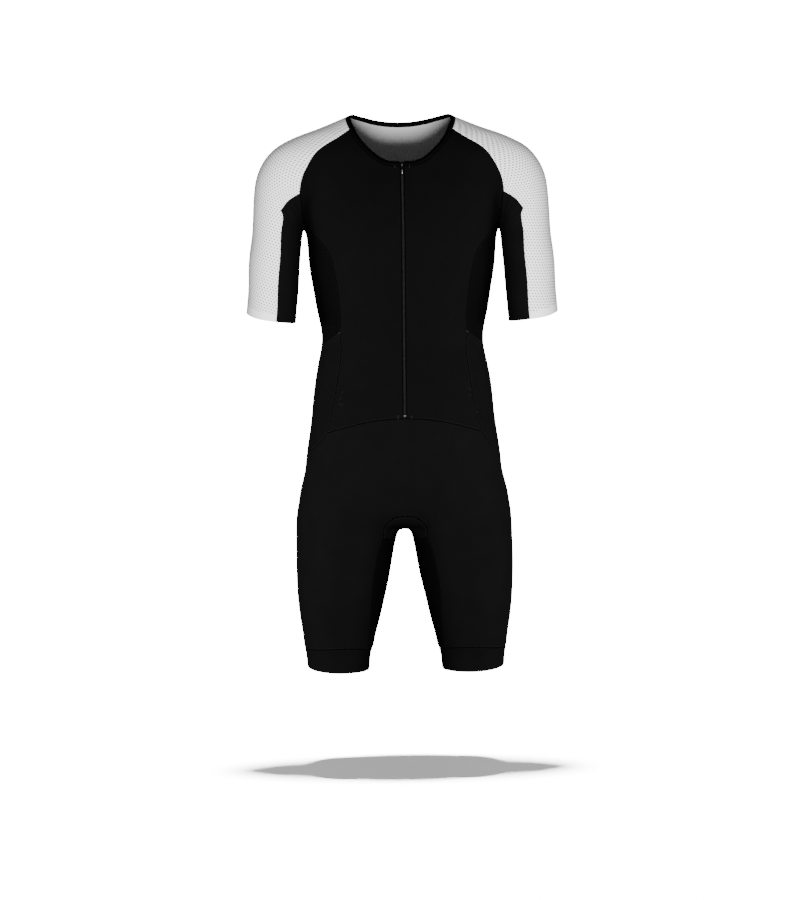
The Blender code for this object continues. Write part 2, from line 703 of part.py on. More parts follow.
def net(top, bottom, left, right, spread=None, facing=OUTWARD, first_onto=form):
    """Points between four sides: top and bottom run from left to right, left and right from top to bottom.

    Where the sleeve runs close beside the trunk, first_onto names the one that the panel belongs to.
    """
    sides = [top, bottom, left, right]
    if spread:
        sides = [spread.read(side, facing) for side in sides]
    a, b, c, d = sides
    down = np.linspace(0.0, 1.0, len(left))[:, None, None]
    over = np.linspace(0.0, 1.0, len(top))[None, :, None]
    between_rows = (1 - down) * a[None] + down * b[None]
    between_columns = (1 - over) * c[:, None] + over * d[:, None]
    corners = (1 - down) * ((1 - over) * a[0] + over * a[-1]) + down * ((1 - over) * b[0] + over * b[-1])
    grid = between_rows + between_columns - corners
    shape = grid.shape
    flat = grid.reshape(-1, 3)
    flat = onto_form(spread.write(flat, facing) if spread else flat, first_onto)
    points = onto_form(flat).reshape(shape)
    points[0], points[-1], points[:, 0], points[:, -1] = top, bottom, left, right
    return points


class Cloth:
    """One panel's outer face: points on the form, and faces between them that look outwards."""

    def __init__(self):
        self.points = []
        self.faces = []

    def add_net(self, grid):
        """A net whose rows run left to right as seen from outside."""
        rows, columns, _ = grid.shape
        first = len(self.points)
        self.points.extend(grid.reshape(-1, 3))
        for i in range(rows - 1):
            for j in range(columns - 1):
                a = first + i * columns + j
                self.faces.append((a, a + columns, a + columns + 1, a + 1))

    def add_ring(self, grid):
        """A net whose last column meets its first."""
        rows, columns, _ = grid.shape
        first = len(self.points)
        self.points.extend(grid.reshape(-1, 3))
        for i in range(rows - 1):
            for j in range(columns):
                a = first + i * columns + j
                b = first + i * columns + (j + 1) % columns
                self.faces.append((a, a + columns, b + columns, b))


def border_of(faces):
    """The outer edges of a set of faces, in the direction that the faces run."""
    ways = {(a, b) for face in faces for a, b in zip(face, face[1:] + face[:1])}
    return [(a, b) for a, b in ways if (b, a) not in ways]


def halved(face, points):
    """A face with four corners as two triangles, cut along its shorter diagonal."""
    a, b, c, d = face
    if np.linalg.norm(points[a] - points[c]) <= np.linalg.norm(points[b] - points[d]):
        return [(a, b, c), (a, c, d)]
    return [(a, b, d), (b, c, d)]


def wall_of(cloth, wall, open_at_middle):
    """The panel as a closed wall: its outer face, an inner face, and a rim. Its border is drawn in by half the gap.

    With open_at_middle the panel is the left half of one that crosses the middle plane, and has no rim there.
    Each face of the rim is cut along a diagonal chosen by place, which makes the two rims of a seam parallel.
    """
    points = np.array(cloth.points)
    normals = outward(points)
    places = [tuple(place) for place in np.round(points, 7)]
    on_middle = np.abs(points[:, 0]) < 1e-6 if open_at_middle else np.zeros(len(points), bool)
    border = [(a, b) for a, b in border_of(cloth.faces) if not (on_middle[a] and on_middle[b])]
    inset = {}
    for a, b in border:
        along = points[b] - points[a]
        for corner in (a, b):
            side = np.cross(normals[corner], along)
            inset.setdefault(corner, []).append(side / np.linalg.norm(side))
    for corner, sides in inset.items():
        if len(sides) == 1:
            mirrored = sides[0] * (-1.0, 1.0, 1.0)
            sides = [sides[0], mirrored]
        first, second = sides
        opening = max(1 + float(first @ second), 0.3)
        points[corner] += SEAM_GAP / 2 * (first + second) / opening
    inner = points - wall * normals
    count = len(points)
    faces = [half for face in cloth.faces for half in halved(face, points)]
    faces += [tuple(count + i for i in reversed(half)) for half in faces]
    for a, b in border:
        if places[a] < places[b]:
            faces += [(b, a, b + count), (a, a + count, b + count)]
        else:
            faces += [(b, a, a + count), (b, a + count, b + count)]
    return np.vstack([points, inner]), faces


def material(finish_name):
    """The Principled material of one finish, made once."""
    existing = bpy.data.materials.get(finish_name)
    if existing:
        return existing
    finish = FINISHES[finish_name]
    made = bpy.data.materials.new(finish_name)
    made.use_nodes = True
    shader = made.node_tree.nodes["Principled BSDF"]
    shader.inputs["Base Color"].default_value = (finish.red, finish.green, finish.blue, 1.0)
    shader.inputs["Roughness"].default_value = finish.roughness
    shader.inputs["Metallic"].default_value = finish.metallic
    made.diffuse_color = (finish.red, finish.green, finish.blue, 1.0)
    return made


def add_object(name, mesh, finish_name, collection):
    obj = bpy.data.objects.new(name, mesh)
    mesh.materials.append(material(finish_name))
    mesh.shade_smooth()
    mesh.set_sharp_from_angle(angle=math.radians(40))
    collection.objects.link(obj)
    return obj


def panel_mesh(name, cloth, wall, open_at_middle=False):
    points, faces = wall_of(cloth, wall, open_at_middle)
    mesh = bpy.data.meshes.new(name)
    mesh.from_pydata([tuple(point) for point in points], [], faces)
    mesh.update()
    return mesh


def add_pair(name, cloth, wall, finish_name, collection):
    """A left panel, and the right one as its mirror image."""
    left = panel_mesh(name + "_left", cloth, wall)
    right = left.copy()
    right.name = name + "_right"
    right.transform(Matrix.Scale(-1, 4, (1, 0, 0)))
    right.flip_normals()
    add_object(name + "_left", left, finish_name, collection)
    add_object(name + "_right", right, finish_name, collection)


def add_whole(name, cloth, wall, finish_name, collection):
    """A panel that crosses the middle plane: its left half, mirrored and joined."""
    obj = add_object(name, panel_mesh(name, cloth, wall, True), finish_name, collection)
    mirror = obj.modifiers.new("Mirror", "MIRROR")
    mirror.use_clip = True
    mirror.merge_threshold = 0.00005
    return obj


# ---------------------------------------------------------------- the suit


def seam_lines():
    """Every seam of the left half as points on the form."""
    lines = {
        "neck_front": seam(NECK_FRONT, FACES["neck_front"]),
        "neck_side": seam(NECK_SIDE, FACES["neck_side"]),
        "neck_back": seam(NECK_BACK, FACES["neck_back"]),
    }
    edge = joined(lines["neck_front"], lines["neck_side"], lines["neck_back"])
    low = lower_edge(edge)
    low[0] = moved_to(low[:1], ZIP_HALF)[0]
    low[-1] = moved_to(low[-1:], 0.0)[0]
    at_front, at_back = FACES["neck_front"], FACES["neck_front"] + FACES["neck_side"]
    lines["under_front"] = low[: at_front + 1]
    lines["under_side"] = low[at_front : at_back + 1]
    lines["under_back"] = low[at_back:]
    raglan = FACES["raglan"]
    lines["raglan_front"] = seam((SeamPoint(*low[at_front]),) + RAGLAN_FRONT, raglan)
    lines["raglan_back"] = seam((SeamPoint(*low[at_back]),) + RAGLAN_BACK, raglan)
    plain = (
        ("arch_front", SLEEVE_ARCH_FRONT, "arch"),
        ("arch_back", SLEEVE_ARCH_BACK, "arch"),
        ("sleeve_front", SLEEVE_SEAM_FRONT, "sleeve_seam"),
        ("sleeve_back", SLEEVE_SEAM_BACK, "sleeve_seam"),
        ("cuff_outer", CUFF_OUTER, "neck_side"),
        ("armhole_front", ARMHOLE_FRONT, "armhole"),
        ("armhole_under", ARMHOLE_UNDER, "armhole_under"),
        ("armhole_back", ARMHOLE_BACK, "armhole"),
        ("side_front", SIDE_FRONT, "side"),
        ("side_back", SIDE_BACK, "side"),
        ("pocket_mouth", POCKET_MOUTH, "armhole_under"),
        ("pocket_front", POCKET_FRONT, "pocket"),
        ("pocket_back", POCKET_BACK, "pocket"),
        ("waist_side", WAIST_SIDE, "armhole_under"),
        ("waist_back", WAIST_BACK, "neck_back"),
        ("yoke", YOKE, "neck_back"),
        ("gusset_front", GUSSET_FRONT, "gusset"),
        ("gusset_back", GUSSET_BACK, "gusset"),
        ("gusset_side", GUSSET_SIDE, "gusset_side"),
        ("inner_front", INNER_LEG_FRONT, "inner_leg"),
        ("inner_back", INNER_LEG_BACK, "inner_leg"),
        ("band_back", BAND_TOP_BACK, "neck_back"),
        ("band_inner", BAND_TOP_INNER, "gusset_side"),
        ("hem_back", HEM_BACK, "neck_back"),
        ("hem_inner", HEM_INNER, "gusset_side"),
        ("crotch", CROTCH_LINE, "gusset_side"),
    )
    for name, rows, count in plain:
        lines[name] = seam(rows, FACES[count])
    groove = into_groove(
        joined(lines["armhole_front"], lines["armhole_under"], lines["armhole_back"])[1:-1]
    )
    before, under = FACES["armhole"], FACES["armhole_under"]
    lines["armhole_front"][1:] = groove[:before]
    lines["armhole_under"] = groove[before - 1 : before + under]
    lines["armhole_back"][:-1] = groove[before + under - 1 :]
    lines["side_front"][0] = lines["armhole_under"][0]
    lines["side_back"][0] = lines["armhole_under"][-1]
    waist = FACES["neck_front"]
    lines["waist_front"] = seam(WAIST_FRONT, waist)
    lines["cuff_inner"] = seam(CUFF_INNER, 2 * FACES["armhole"] + FACES["armhole_under"])
    around = waist + FACES["armhole_under"]
    lines["band_outer"] = seam(BAND_TOP_OUTER, around)
    lines["hem_outer"] = seam(HEM_OUTER, around)
    down = FACES["centre"] + FACES["gusset"] + FACES["inner_leg"]
    lines["outer_leg"] = seam(OUTER_LEG, down)
    lines["zip_edge"] = zip_edge(lines)
    lines["back_middle"] = back_middle(lines)
    lines["front_centre"] = middle_line(FRONT, WAIST_FRONT[0].height, GUSSET_FRONT[0].height)
    lines["back_centre"] = middle_line(BACK, WAIST_BACK[0].height, GUSSET_BACK[0].height)
    return lines


def levels_between(start, end, faces):
    return np.linspace(start, end, faces + 1)


def edge_at(across, heights, face):
    return np.array([(across, depth_on_face(across, height, face), height) for height in heights])


def zip_edge(lines):
    """The edge of the front along the zip, with a point for each point of its outer edge."""
    counts = (FACES["raglan"], FACES["armhole"], FACES["side"], FACES["pocket"])
    stops = (lines["under_front"][0][2],) + ZIP_LEVELS + (WAIST_FRONT[0].height,)
    heights = [stops[0]]
    for start, end, faces in zip(stops, stops[1:], counts):
        heights.extend(levels_between(start, end, faces)[1:])
    return edge_at(ZIP_HALF, heights, FRONT)


def back_middle(lines):
    """The middle of the lower back, with a point for each point of its outer edge."""
    counts = (FACES["armhole"], FACES["side"], FACES["pocket"])
    stops = (YOKE[0].height,) + BACK_LEVELS + (WAIST_BACK[0].height,)
    heights = [stops[0]]
    for start, end, faces in zip(stops, stops[1:], counts):
        heights.extend(levels_between(start, end, faces)[1:])
    return edge_at(0.0, heights, BACK)


def middle_line(face, top, bottom):
    return edge_at(0.0, levels_between(top, bottom, FACES["centre"]), face)


def one_net(*sides, spread=None, facing=OUTWARD, first_onto=form):
    cloth = Cloth()
    cloth.add_net(net(*sides, spread=spread, facing=facing, first_onto=first_onto))
    return cloth


def build_bodice(lines, collection):
    trunk, sleeve_line = SpreadLine(TRUNK_LINE), SpreadLine(SLEEVE_LINE)
    waist = lines["waist_front"].copy()
    waist[0] = lines["zip_edge"][-1]
    outer = joined(
        lines["raglan_front"], lines["armhole_front"], lines["side_front"], lines["pocket_front"]
    )
    front = one_net(lines["under_front"], waist, lines["zip_edge"], outer, spread=trunk)
    add_pair("front", front, WALL, "black_lycra", collection)
    side = one_net(
        lines["armhole_under"],
        lines["pocket_mouth"],
        lines["side_front"],
        lines["side_back"],
        spread=trunk,
        first_onto=trunk_alone,
    )
    add_pair("side", side, WALL, "black_mesh", collection)
    pocket = one_net(
        lines["pocket_mouth"], lines["waist_side"], lines["pocket_front"], lines["pocket_back"], spread=trunk
    )
    add_pair("pocket", pocket, WALL, "black_lycra", collection)
    back_edge = joined(lines["armhole_back"][::-1], lines["side_back"], lines["pocket_back"])
    back = one_net(
        lines["yoke"][::-1], lines["waist_back"][::-1], back_edge, lines["back_middle"], spread=trunk
    )
    add_whole("back_lower", back, WALL, "black_lycra", collection)
    yoke_middle = edge_at(
        0.0, levels_between(lines["under_back"][-1][2], YOKE[0].height, FACES["raglan"]), BACK
    )
    yoke = one_net(
        lines["under_back"], lines["yoke"][::-1], lines["raglan_back"], yoke_middle, spread=trunk
    )
    add_whole("back_yoke", yoke, WALL, "white_mesh", collection)
    sleeve = one_net(
        lines["under_side"],
        lines["cuff_outer"],
        joined(lines["raglan_front"], lines["arch_front"], lines["sleeve_front"]),
        joined(lines["raglan_back"], lines["arch_back"], lines["sleeve_back"]),
        spread=sleeve_line,
    )
    add_pair("sleeve", sleeve, WALL, "white_mesh", collection)
    armhole = joined(lines["armhole_front"], lines["armhole_under"], lines["armhole_back"])
    underarm = one_net(
        armhole[::-1],
        lines["cuff_inner"][::-1],
        joined(lines["arch_back"], lines["sleeve_back"]),
        joined(lines["arch_front"], lines["sleeve_front"]),
        spread=sleeve_line,
        facing=INWARD,
        first_onto=arm_alone,
    )
    add_pair("underarm", underarm, WALL, "black_lycra", collection)


def build_shorts(lines, collection):
    leg_line = SpreadLine(LEG_LINE)
    front = one_net(
        joined(lines["waist_front"], lines["waist_side"]),
        lines["band_outer"],
        joined(lines["front_centre"], lines["gusset_front"], lines["inner_front"]),
        lines["outer_leg"],
        spread=leg_line,
    )
    add_whole("shorts_front", front, WALL, "black_lycra", collection)
    back = one_net(
        lines["waist_back"][::-1],
        lines["band_back"],
        lines["outer_leg"],
        joined(lines["back_centre"], lines["gusset_back"], lines["inner_back"]),
        spread=leg_line,
    )
    add_whole("shorts_back", back, WALL, "black_lycra", collection)
    inner = one_net(
        lines["gusset_side"][::-1],
        lines["band_inner"][::-1],
        lines["inner_back"],
        lines["inner_front"],
        spread=leg_line,
        facing=INWARD,
    )
    add_pair("inner_thigh", inner, WALL, "black_mesh", collection)
    gusset = one_net(
        lines["gusset_front"], lines["gusset_back"], lines["crotch"], lines["gusset_side"]
    )
    add_whole("gusset", gusset, WALL, "black_lycra", collection)
    band_top = np.vstack([lines["band_outer"], lines["band_back"][1:], lines["band_inner"][::-1][1:-1]])
    hem = np.vstack([lines["hem_outer"], lines["hem_back"][1:], lines["hem_inner"][::-1][1:-1]])
    share = np.linspace(0.0, 1.0, FACES["band"] + 1)[:, None, None]
    rows = (1 - share) * band_top[None] + share * hem[None]
    rows[1:-1] = onto_form(rows[1:-1].reshape(-1, 3)).reshape(rows[1:-1].shape)
    band = Cloth()
    band.add_ring(rows)
    add_pair("leg_band", band, GRIPPER_WALL, "gripper_elastic", collection)


def build_collar(lines, collection):
    edge = joined(lines["neck_front"], lines["neck_side"], lines["neck_back"])
    under = joined(lines["under_front"], lines["under_side"], lines["under_back"])
    collar = Cloth()
    collar.add_net(np.stack([edge, under]))
    add_whole("collar", collar, BINDING_WALL, "neck_binding", collection)


def build_zip_chain(lines, collection):
    """The closed chain on its two tapes, one strip between the fronts."""
    top = edge_at(ZIP_HALF, [CHAIN_TOP], FRONT)
    edge = np.vstack([top, lines["zip_edge"]])
    middle = edge * (0.0, 1.0, 1.0)
    chain = Cloth()
    chain.add_net(np.stack([middle, edge], axis=1))
    add_whole("zip_chain", chain, CHAIN_WALL, "zip_coil", collection)


# ---------------------------------------------------------------- the zip's slider, pull and stop


def chest_frame(height):
    """The frame of the zip's hardware at one height: x across, y up the cloth, z out of it."""
    place = edge_at(0.0, [height], FRONT)
    out = Vector(outward(place)[0])
    out.x = 0.0
    out.normalize()
    across = Vector((1.0, 0.0, 0.0))
    up = out.cross(across)
    return Matrix.Translation(Vector(place[0])) @ Matrix((across, up, out)).transposed().to_4x4()


def mesh_of_curve(name, curve):
    """The curve's solid as a mesh with its doubled points merged."""
    holder = bpy.data.objects.new(name, curve)
    mesh = bpy.data.meshes.new_from_object(holder)
    bpy.data.objects.remove(holder)
    bpy.data.curves.remove(curve)
    work = bmesh.new()
    work.from_mesh(mesh)
    bmesh.ops.remove_doubles(work, verts=work.verts, dist=1e-6)
    bmesh.ops.recalc_face_normals(work, faces=work.faces)
    work.to_mesh(mesh)
    work.free()
    mesh.name = name
    return mesh


def add_loop(curve, loop, cyclic=True):
    line = curve.splines.new("POLY")
    line.points.add(len(loop) - 1)
    for point, place in zip(line.points, loop):
        point.co = (*place, 1.0)
    line.use_cyclic_u = cyclic


def plate(name, loops, low, high, edge):
    """A flat plate between two levels, with its edge rounded: the first loop is its outline, the others are holes."""
    curve = bpy.data.curves.new(name, "CURVE")
    curve.dimensions = "2D"
    curve.fill_mode = "BOTH"
    curve.extrude = (high - low) / 2 - edge
    curve.bevel_depth = edge
    curve.bevel_resolution = 1
    curve.offset = -edge
    for loop in loops:
        add_loop(curve, [(across, up, 0.0) for across, up in loop])
    mesh = mesh_of_curve(name, curve)
    mesh.transform(Matrix.Translation((0.0, 0.0, (low + high) / 2)))
    return mesh


def whole_outline(half):
    """Both halves of an outline, running round once."""
    mirrored = [(-row.across, row.up) for row in reversed(half)]
    return [(row.across, row.up) for row in half] + mirrored


def box(name, width, low, high, back, front):
    """A box across the middle, between two places up the cloth and two places out of it."""
    work = bmesh.new()
    bmesh.ops.create_cube(work, size=1.0)
    size = Matrix.Diagonal((width, high - low, front - back, 1.0))
    bmesh.ops.transform(work, matrix=size, verts=work.verts)
    shift = Vector((0.0, (low + high) / 2, (back + front) / 2))
    bmesh.ops.translate(work, vec=shift, verts=work.verts)
    mesh = bpy.data.meshes.new(name)
    work.to_mesh(mesh)
    work.free()
    return mesh


def bail(foot):
    """The arch of wire over the hinge axis, with both feet sunk in the front plate."""
    curve = bpy.data.curves.new("bail", "CURVE")
    curve.dimensions = "3D"
    curve.bevel_depth = BAIL_WIRE
    curve.bevel_resolution = 2
    curve.use_fill_caps = True
    turns = np.linspace(0.0, math.pi, 13)
    arch = [(0.0, HINGE_UP + BAIL_RADIUS * math.cos(t), HINGE_OUT + BAIL_RADIUS * math.sin(t)) for t in turns]
    ends = [(0.0, arch[0][1], foot)], [(0.0, arch[-1][1], foot)]
    add_loop(curve, ends[0] + arch + ends[1], cyclic=False)
    return mesh_of_curve("bail", curve)


def build_zip_hardware(collection):
    frame = chest_frame(HARDWARE_LEVEL)
    edge = 0.0003
    face = SLIDER_CLEARANCE + SLIDER_WALL
    sunk = SLIDER_WALL / 2
    outline = whole_outline(SLIDER_OUTLINE)
    front_plate = plate("zip_slider", [outline], SLIDER_CLEARANCE, face, edge)
    back_plate = plate("slider_back", [outline], BACK_PLATE_FACE - SLIDER_WALL, BACK_PLATE_FACE, edge)
    post = box(
        "slider_post", POST_WIDTH, POST_LOW, POST_HIGH, BACK_PLATE_FACE - sunk, SLIDER_CLEARANCE + sunk
    )
    slider = add_object("zip_slider", front_plate, "zip_metal", collection)
    slider.matrix_world = frame
    joined_on = bpy.data.collections.new("zip_slider_bodies")
    joined_on.hide_render = True
    bpy.context.scene.collection.children.link(joined_on)
    for mesh in (back_plate, post, bail(face - sunk)):
        body = bpy.data.objects.new(mesh.name, mesh)
        body.matrix_world = frame
        body.hide_render = True
        body.display_type = "WIRE"
        joined_on.objects.link(body)
        union = slider.modifiers.new(mesh.name, "BOOLEAN")
        union.operation = "UNION"
        union.solver = "EXACT"
        union.object = body
    eye = [
        (EYE_HALF_WIDTH, EYE_TOP),
        (EYE_HALF_WIDTH, EYE_BOTTOM),
        (-EYE_HALF_WIDTH, EYE_BOTTOM),
        (-EYE_HALF_WIDTH, EYE_TOP),
    ]
    pull_mesh = plate(
        "zip_pull", [whole_outline(PULL_OUTLINE), eye], -PULL_WALL / 2, PULL_WALL / 2, 0.0002
    )
    pull = add_object("zip_pull", pull_mesh, "zip_metal", collection)
    hinge = Matrix.Translation((0.0, HINGE_UP, HINGE_OUT)) @ Matrix.Rotation(PULL_TILT, 4, "X")
    pull.matrix_world = frame @ hinge
    stop_mesh = box(
        "zip_stop", STOP_WIDTH, -STOP_LENGTH / 2, STOP_LENGTH / 2, SLIDER_CLEARANCE, SLIDER_CLEARANCE + STOP_WALL
    )
    stop = add_object("zip_stop", stop_mesh, "zip_metal", collection)
    stop.matrix_world = chest_frame(STOP_LEVEL)
    rounding = stop.modifiers.new("Bevel", "BEVEL")
    rounding.width = edge
    rounding.segments = 2


def main():
    for obj in list(bpy.data.objects):
        bpy.data.objects.remove(obj, do_unlink=True)
    collection = bpy.data.collections.new("triathlon_suit")
    bpy.context.scene.collection.children.link(collection)
    lines = seam_lines()
    build_bodice(lines, collection)
    build_shorts(lines, collection)
    build_collar(lines, collection)
    build_zip_chain(lines, collection)
    build_zip_hardware(collection)


main()
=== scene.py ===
"""A short-sleeved triathlon suit in one piece: its cloth panels, seams, zip and studio, over the solids.

Metres, +Z up. The front faces -Y and +X is the wearer's left. Every panel is a fine net of points on one
smooth form, between the seam lines of its solid; the front raglan seam starts a little higher here and the
front arch ends in a sharper tip. It gets a wall, edges that roll down into the seams, and creases that are
placed one by one, so the left side differs from the right as on any worn suit.
"""

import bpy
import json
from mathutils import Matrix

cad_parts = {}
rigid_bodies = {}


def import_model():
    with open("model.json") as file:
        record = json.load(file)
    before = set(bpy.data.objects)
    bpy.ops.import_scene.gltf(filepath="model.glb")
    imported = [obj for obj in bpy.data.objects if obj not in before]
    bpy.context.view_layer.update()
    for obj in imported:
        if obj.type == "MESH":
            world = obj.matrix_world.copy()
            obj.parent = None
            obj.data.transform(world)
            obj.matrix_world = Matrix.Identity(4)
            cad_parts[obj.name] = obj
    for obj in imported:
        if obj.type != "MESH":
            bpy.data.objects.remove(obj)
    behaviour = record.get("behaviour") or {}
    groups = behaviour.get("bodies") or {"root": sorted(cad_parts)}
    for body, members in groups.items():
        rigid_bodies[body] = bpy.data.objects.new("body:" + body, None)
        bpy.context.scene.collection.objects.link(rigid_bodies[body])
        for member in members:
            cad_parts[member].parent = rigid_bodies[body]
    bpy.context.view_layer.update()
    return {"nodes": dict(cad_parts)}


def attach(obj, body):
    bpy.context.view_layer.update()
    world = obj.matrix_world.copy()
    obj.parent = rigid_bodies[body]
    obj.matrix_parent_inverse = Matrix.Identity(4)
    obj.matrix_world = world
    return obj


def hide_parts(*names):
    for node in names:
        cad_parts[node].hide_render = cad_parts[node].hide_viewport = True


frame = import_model()

import json
import math
from collections import namedtuple
from functools import lru_cache

import bmesh
import bpy
import numpy as np
from mathutils import Matrix, Quaternion, Vector

bl_info = {
    "name": "Triathlon suit",
    "version": (1, 0, 0),
    "blender": (4, 5, 0),
    "location": "3D View > Sidebar > Suit",
    "description": "Sews a short-sleeved triathlon suit over its packed solids and sets up a studio",
    "category": "Object",
}


def records(columns, *rows):
    """Rows of numbers as records with named columns."""
    record = namedtuple("Record", columns)
    return tuple(record(*row) for row in rows)


# ---------------------------------------------------------------- driving sizes

BINDING_WIDTH = 0.0080
ZIP_HALF = 0.0030  # half the width of the closed chain and its tapes
ARMPIT_FILLET = 0.008
SHOULDER_FILLET = 0.040
HIP_FILLET = 0.012
CROTCH_FILLET = 0.018  # underneath, between the legs
GROIN_FILLET = 0.030  # at the front and the back
BOTTOM_ROUNDING = 0.010
LEG_PARTING = 0.008  # rounds the form where the legs part
ARM_SQUARENESS = 2.15

# One row for each level of the trunk: how far it reaches to the side, to the front and to the back.
TORSO = records(
    "height half_width front back squareness",
    (0.034, 0.058, -0.02, 0.046, 2.0), (0.024, 0.082, -0.03, 0.054, 2.0),
    (0.013, 0.106, -0.04, 0.061, 2.1), (0.002, 0.1295, -0.049, 0.067, 2.2),
    (-0.009, 0.152, -0.057, 0.072, 2.3), (-0.021, 0.1665, -0.064, 0.077, 2.4),
    (-0.038, 0.183, -0.073, 0.084, 2.4), (-0.06, 0.182, -0.082, 0.092, 2.4),
    (-0.09, 0.178, -0.094, 0.102, 2.4), (-0.13, 0.172, -0.107, 0.112, 2.4),
    (-0.182, 0.1605, -0.116, 0.116, 2.4), (-0.225, 0.157, -0.115, 0.111, 2.35),
    (-0.265, 0.151, -0.11, 0.103, 2.3), (-0.306, 0.144, -0.104, 0.096, 2.25),
    (-0.347, 0.1365, -0.1, 0.092, 2.2), (-0.362, 0.137, -0.099, 0.093, 2.2),
    (-0.39, 0.1425, -0.1, 0.095, 2.2), (-0.43, 0.1495, -0.102, 0.101, 2.2),
    (-0.47, 0.154, -0.1045, 0.11, 2.25), (-0.512, 0.159, -0.106, 0.119, 2.3),
    (-0.552, 0.165, -0.1055, 0.126, 2.35), (-0.593, 0.17, -0.102, 0.128, 2.4),
    (-0.624, 0.172, -0.095, 0.121, 2.4), (-0.643, 0.164, -0.087, 0.111, 2.4),
    (-0.658, 0.14, -0.075, 0.096, 2.35), (-0.668, 0.1, -0.058, 0.077, 2.3),
    (-0.674, 0.06, -0.036, 0.05, 2.3),
)
# One row for each place along the left arm, from inside the shoulder to past the cuff.
ARM = records(
    "across height half_thickness half_depth middle",
    (0.105, -0.05, 0.04, 0.044, 0.008), (0.15, -0.059, 0.046, 0.054, 0.006),
    (0.179, -0.071, 0.0508, 0.058, 0.005), (0.195, -0.088, 0.0486, 0.06, 0.004),
    (0.2035, -0.114, 0.0453, 0.062, 0.003), (0.2078, -0.15, 0.0432, 0.062, 0.002),
    (0.2104, -0.184, 0.0426, 0.061, 0.001), (0.215, -0.224, 0.0432, 0.059, 0.0),
    (0.2173, -0.265, 0.0426, 0.057, -0.001), (0.221, -0.306, 0.0423, 0.055, -0.002),
    (0.2245, -0.345, 0.0424, 0.053, -0.002),
)
# One row for each level of the left leg: where it starts and ends across, at the front and at the back.
LEG = records(
    "height inner outer front back squareness",
    (-0.56, 0.0115, 0.15, -0.07, 0.086, 2.2), (-0.59, 0.0115, 0.166, -0.084, 0.105, 2.2),
    (-0.62, 0.0118, 0.1765, -0.0925, 0.114, 2.2), (-0.65, 0.0122, 0.1825, -0.0955, 0.116, 2.2),
    (-0.684, 0.014, 0.1845, -0.095, 0.111, 2.15), (-0.702, 0.0176, 0.1847, -0.0945, 0.1065, 2.1),
    (-0.734, 0.0233, 0.185, -0.093, 0.098, 2.05), (-0.768, 0.0292, 0.1845, -0.09, 0.089, 2.0),
    (-0.797, 0.0358, 0.183, -0.087, 0.081, 2.0), (-0.836, 0.0452, 0.1781, -0.08, 0.071, 2.0),
    (-0.868, 0.053, 0.1738, -0.074, 0.0635, 2.0), (-0.876, 0.0548, 0.173, -0.0728, 0.0618, 2.0),
    (-0.884, 0.0578, 0.1715, -0.0705, 0.0596, 2.0), (-0.911, 0.0622, 0.1684, -0.0675, 0.057, 2.0),
    (-0.94, 0.066, 0.166, -0.064, 0.0545, 2.0),
)

FRONT, BACK = -1.0, 1.0  # as a place along: on the front or the back face, wherever that is
FINER = 6  # times the faces of the tables

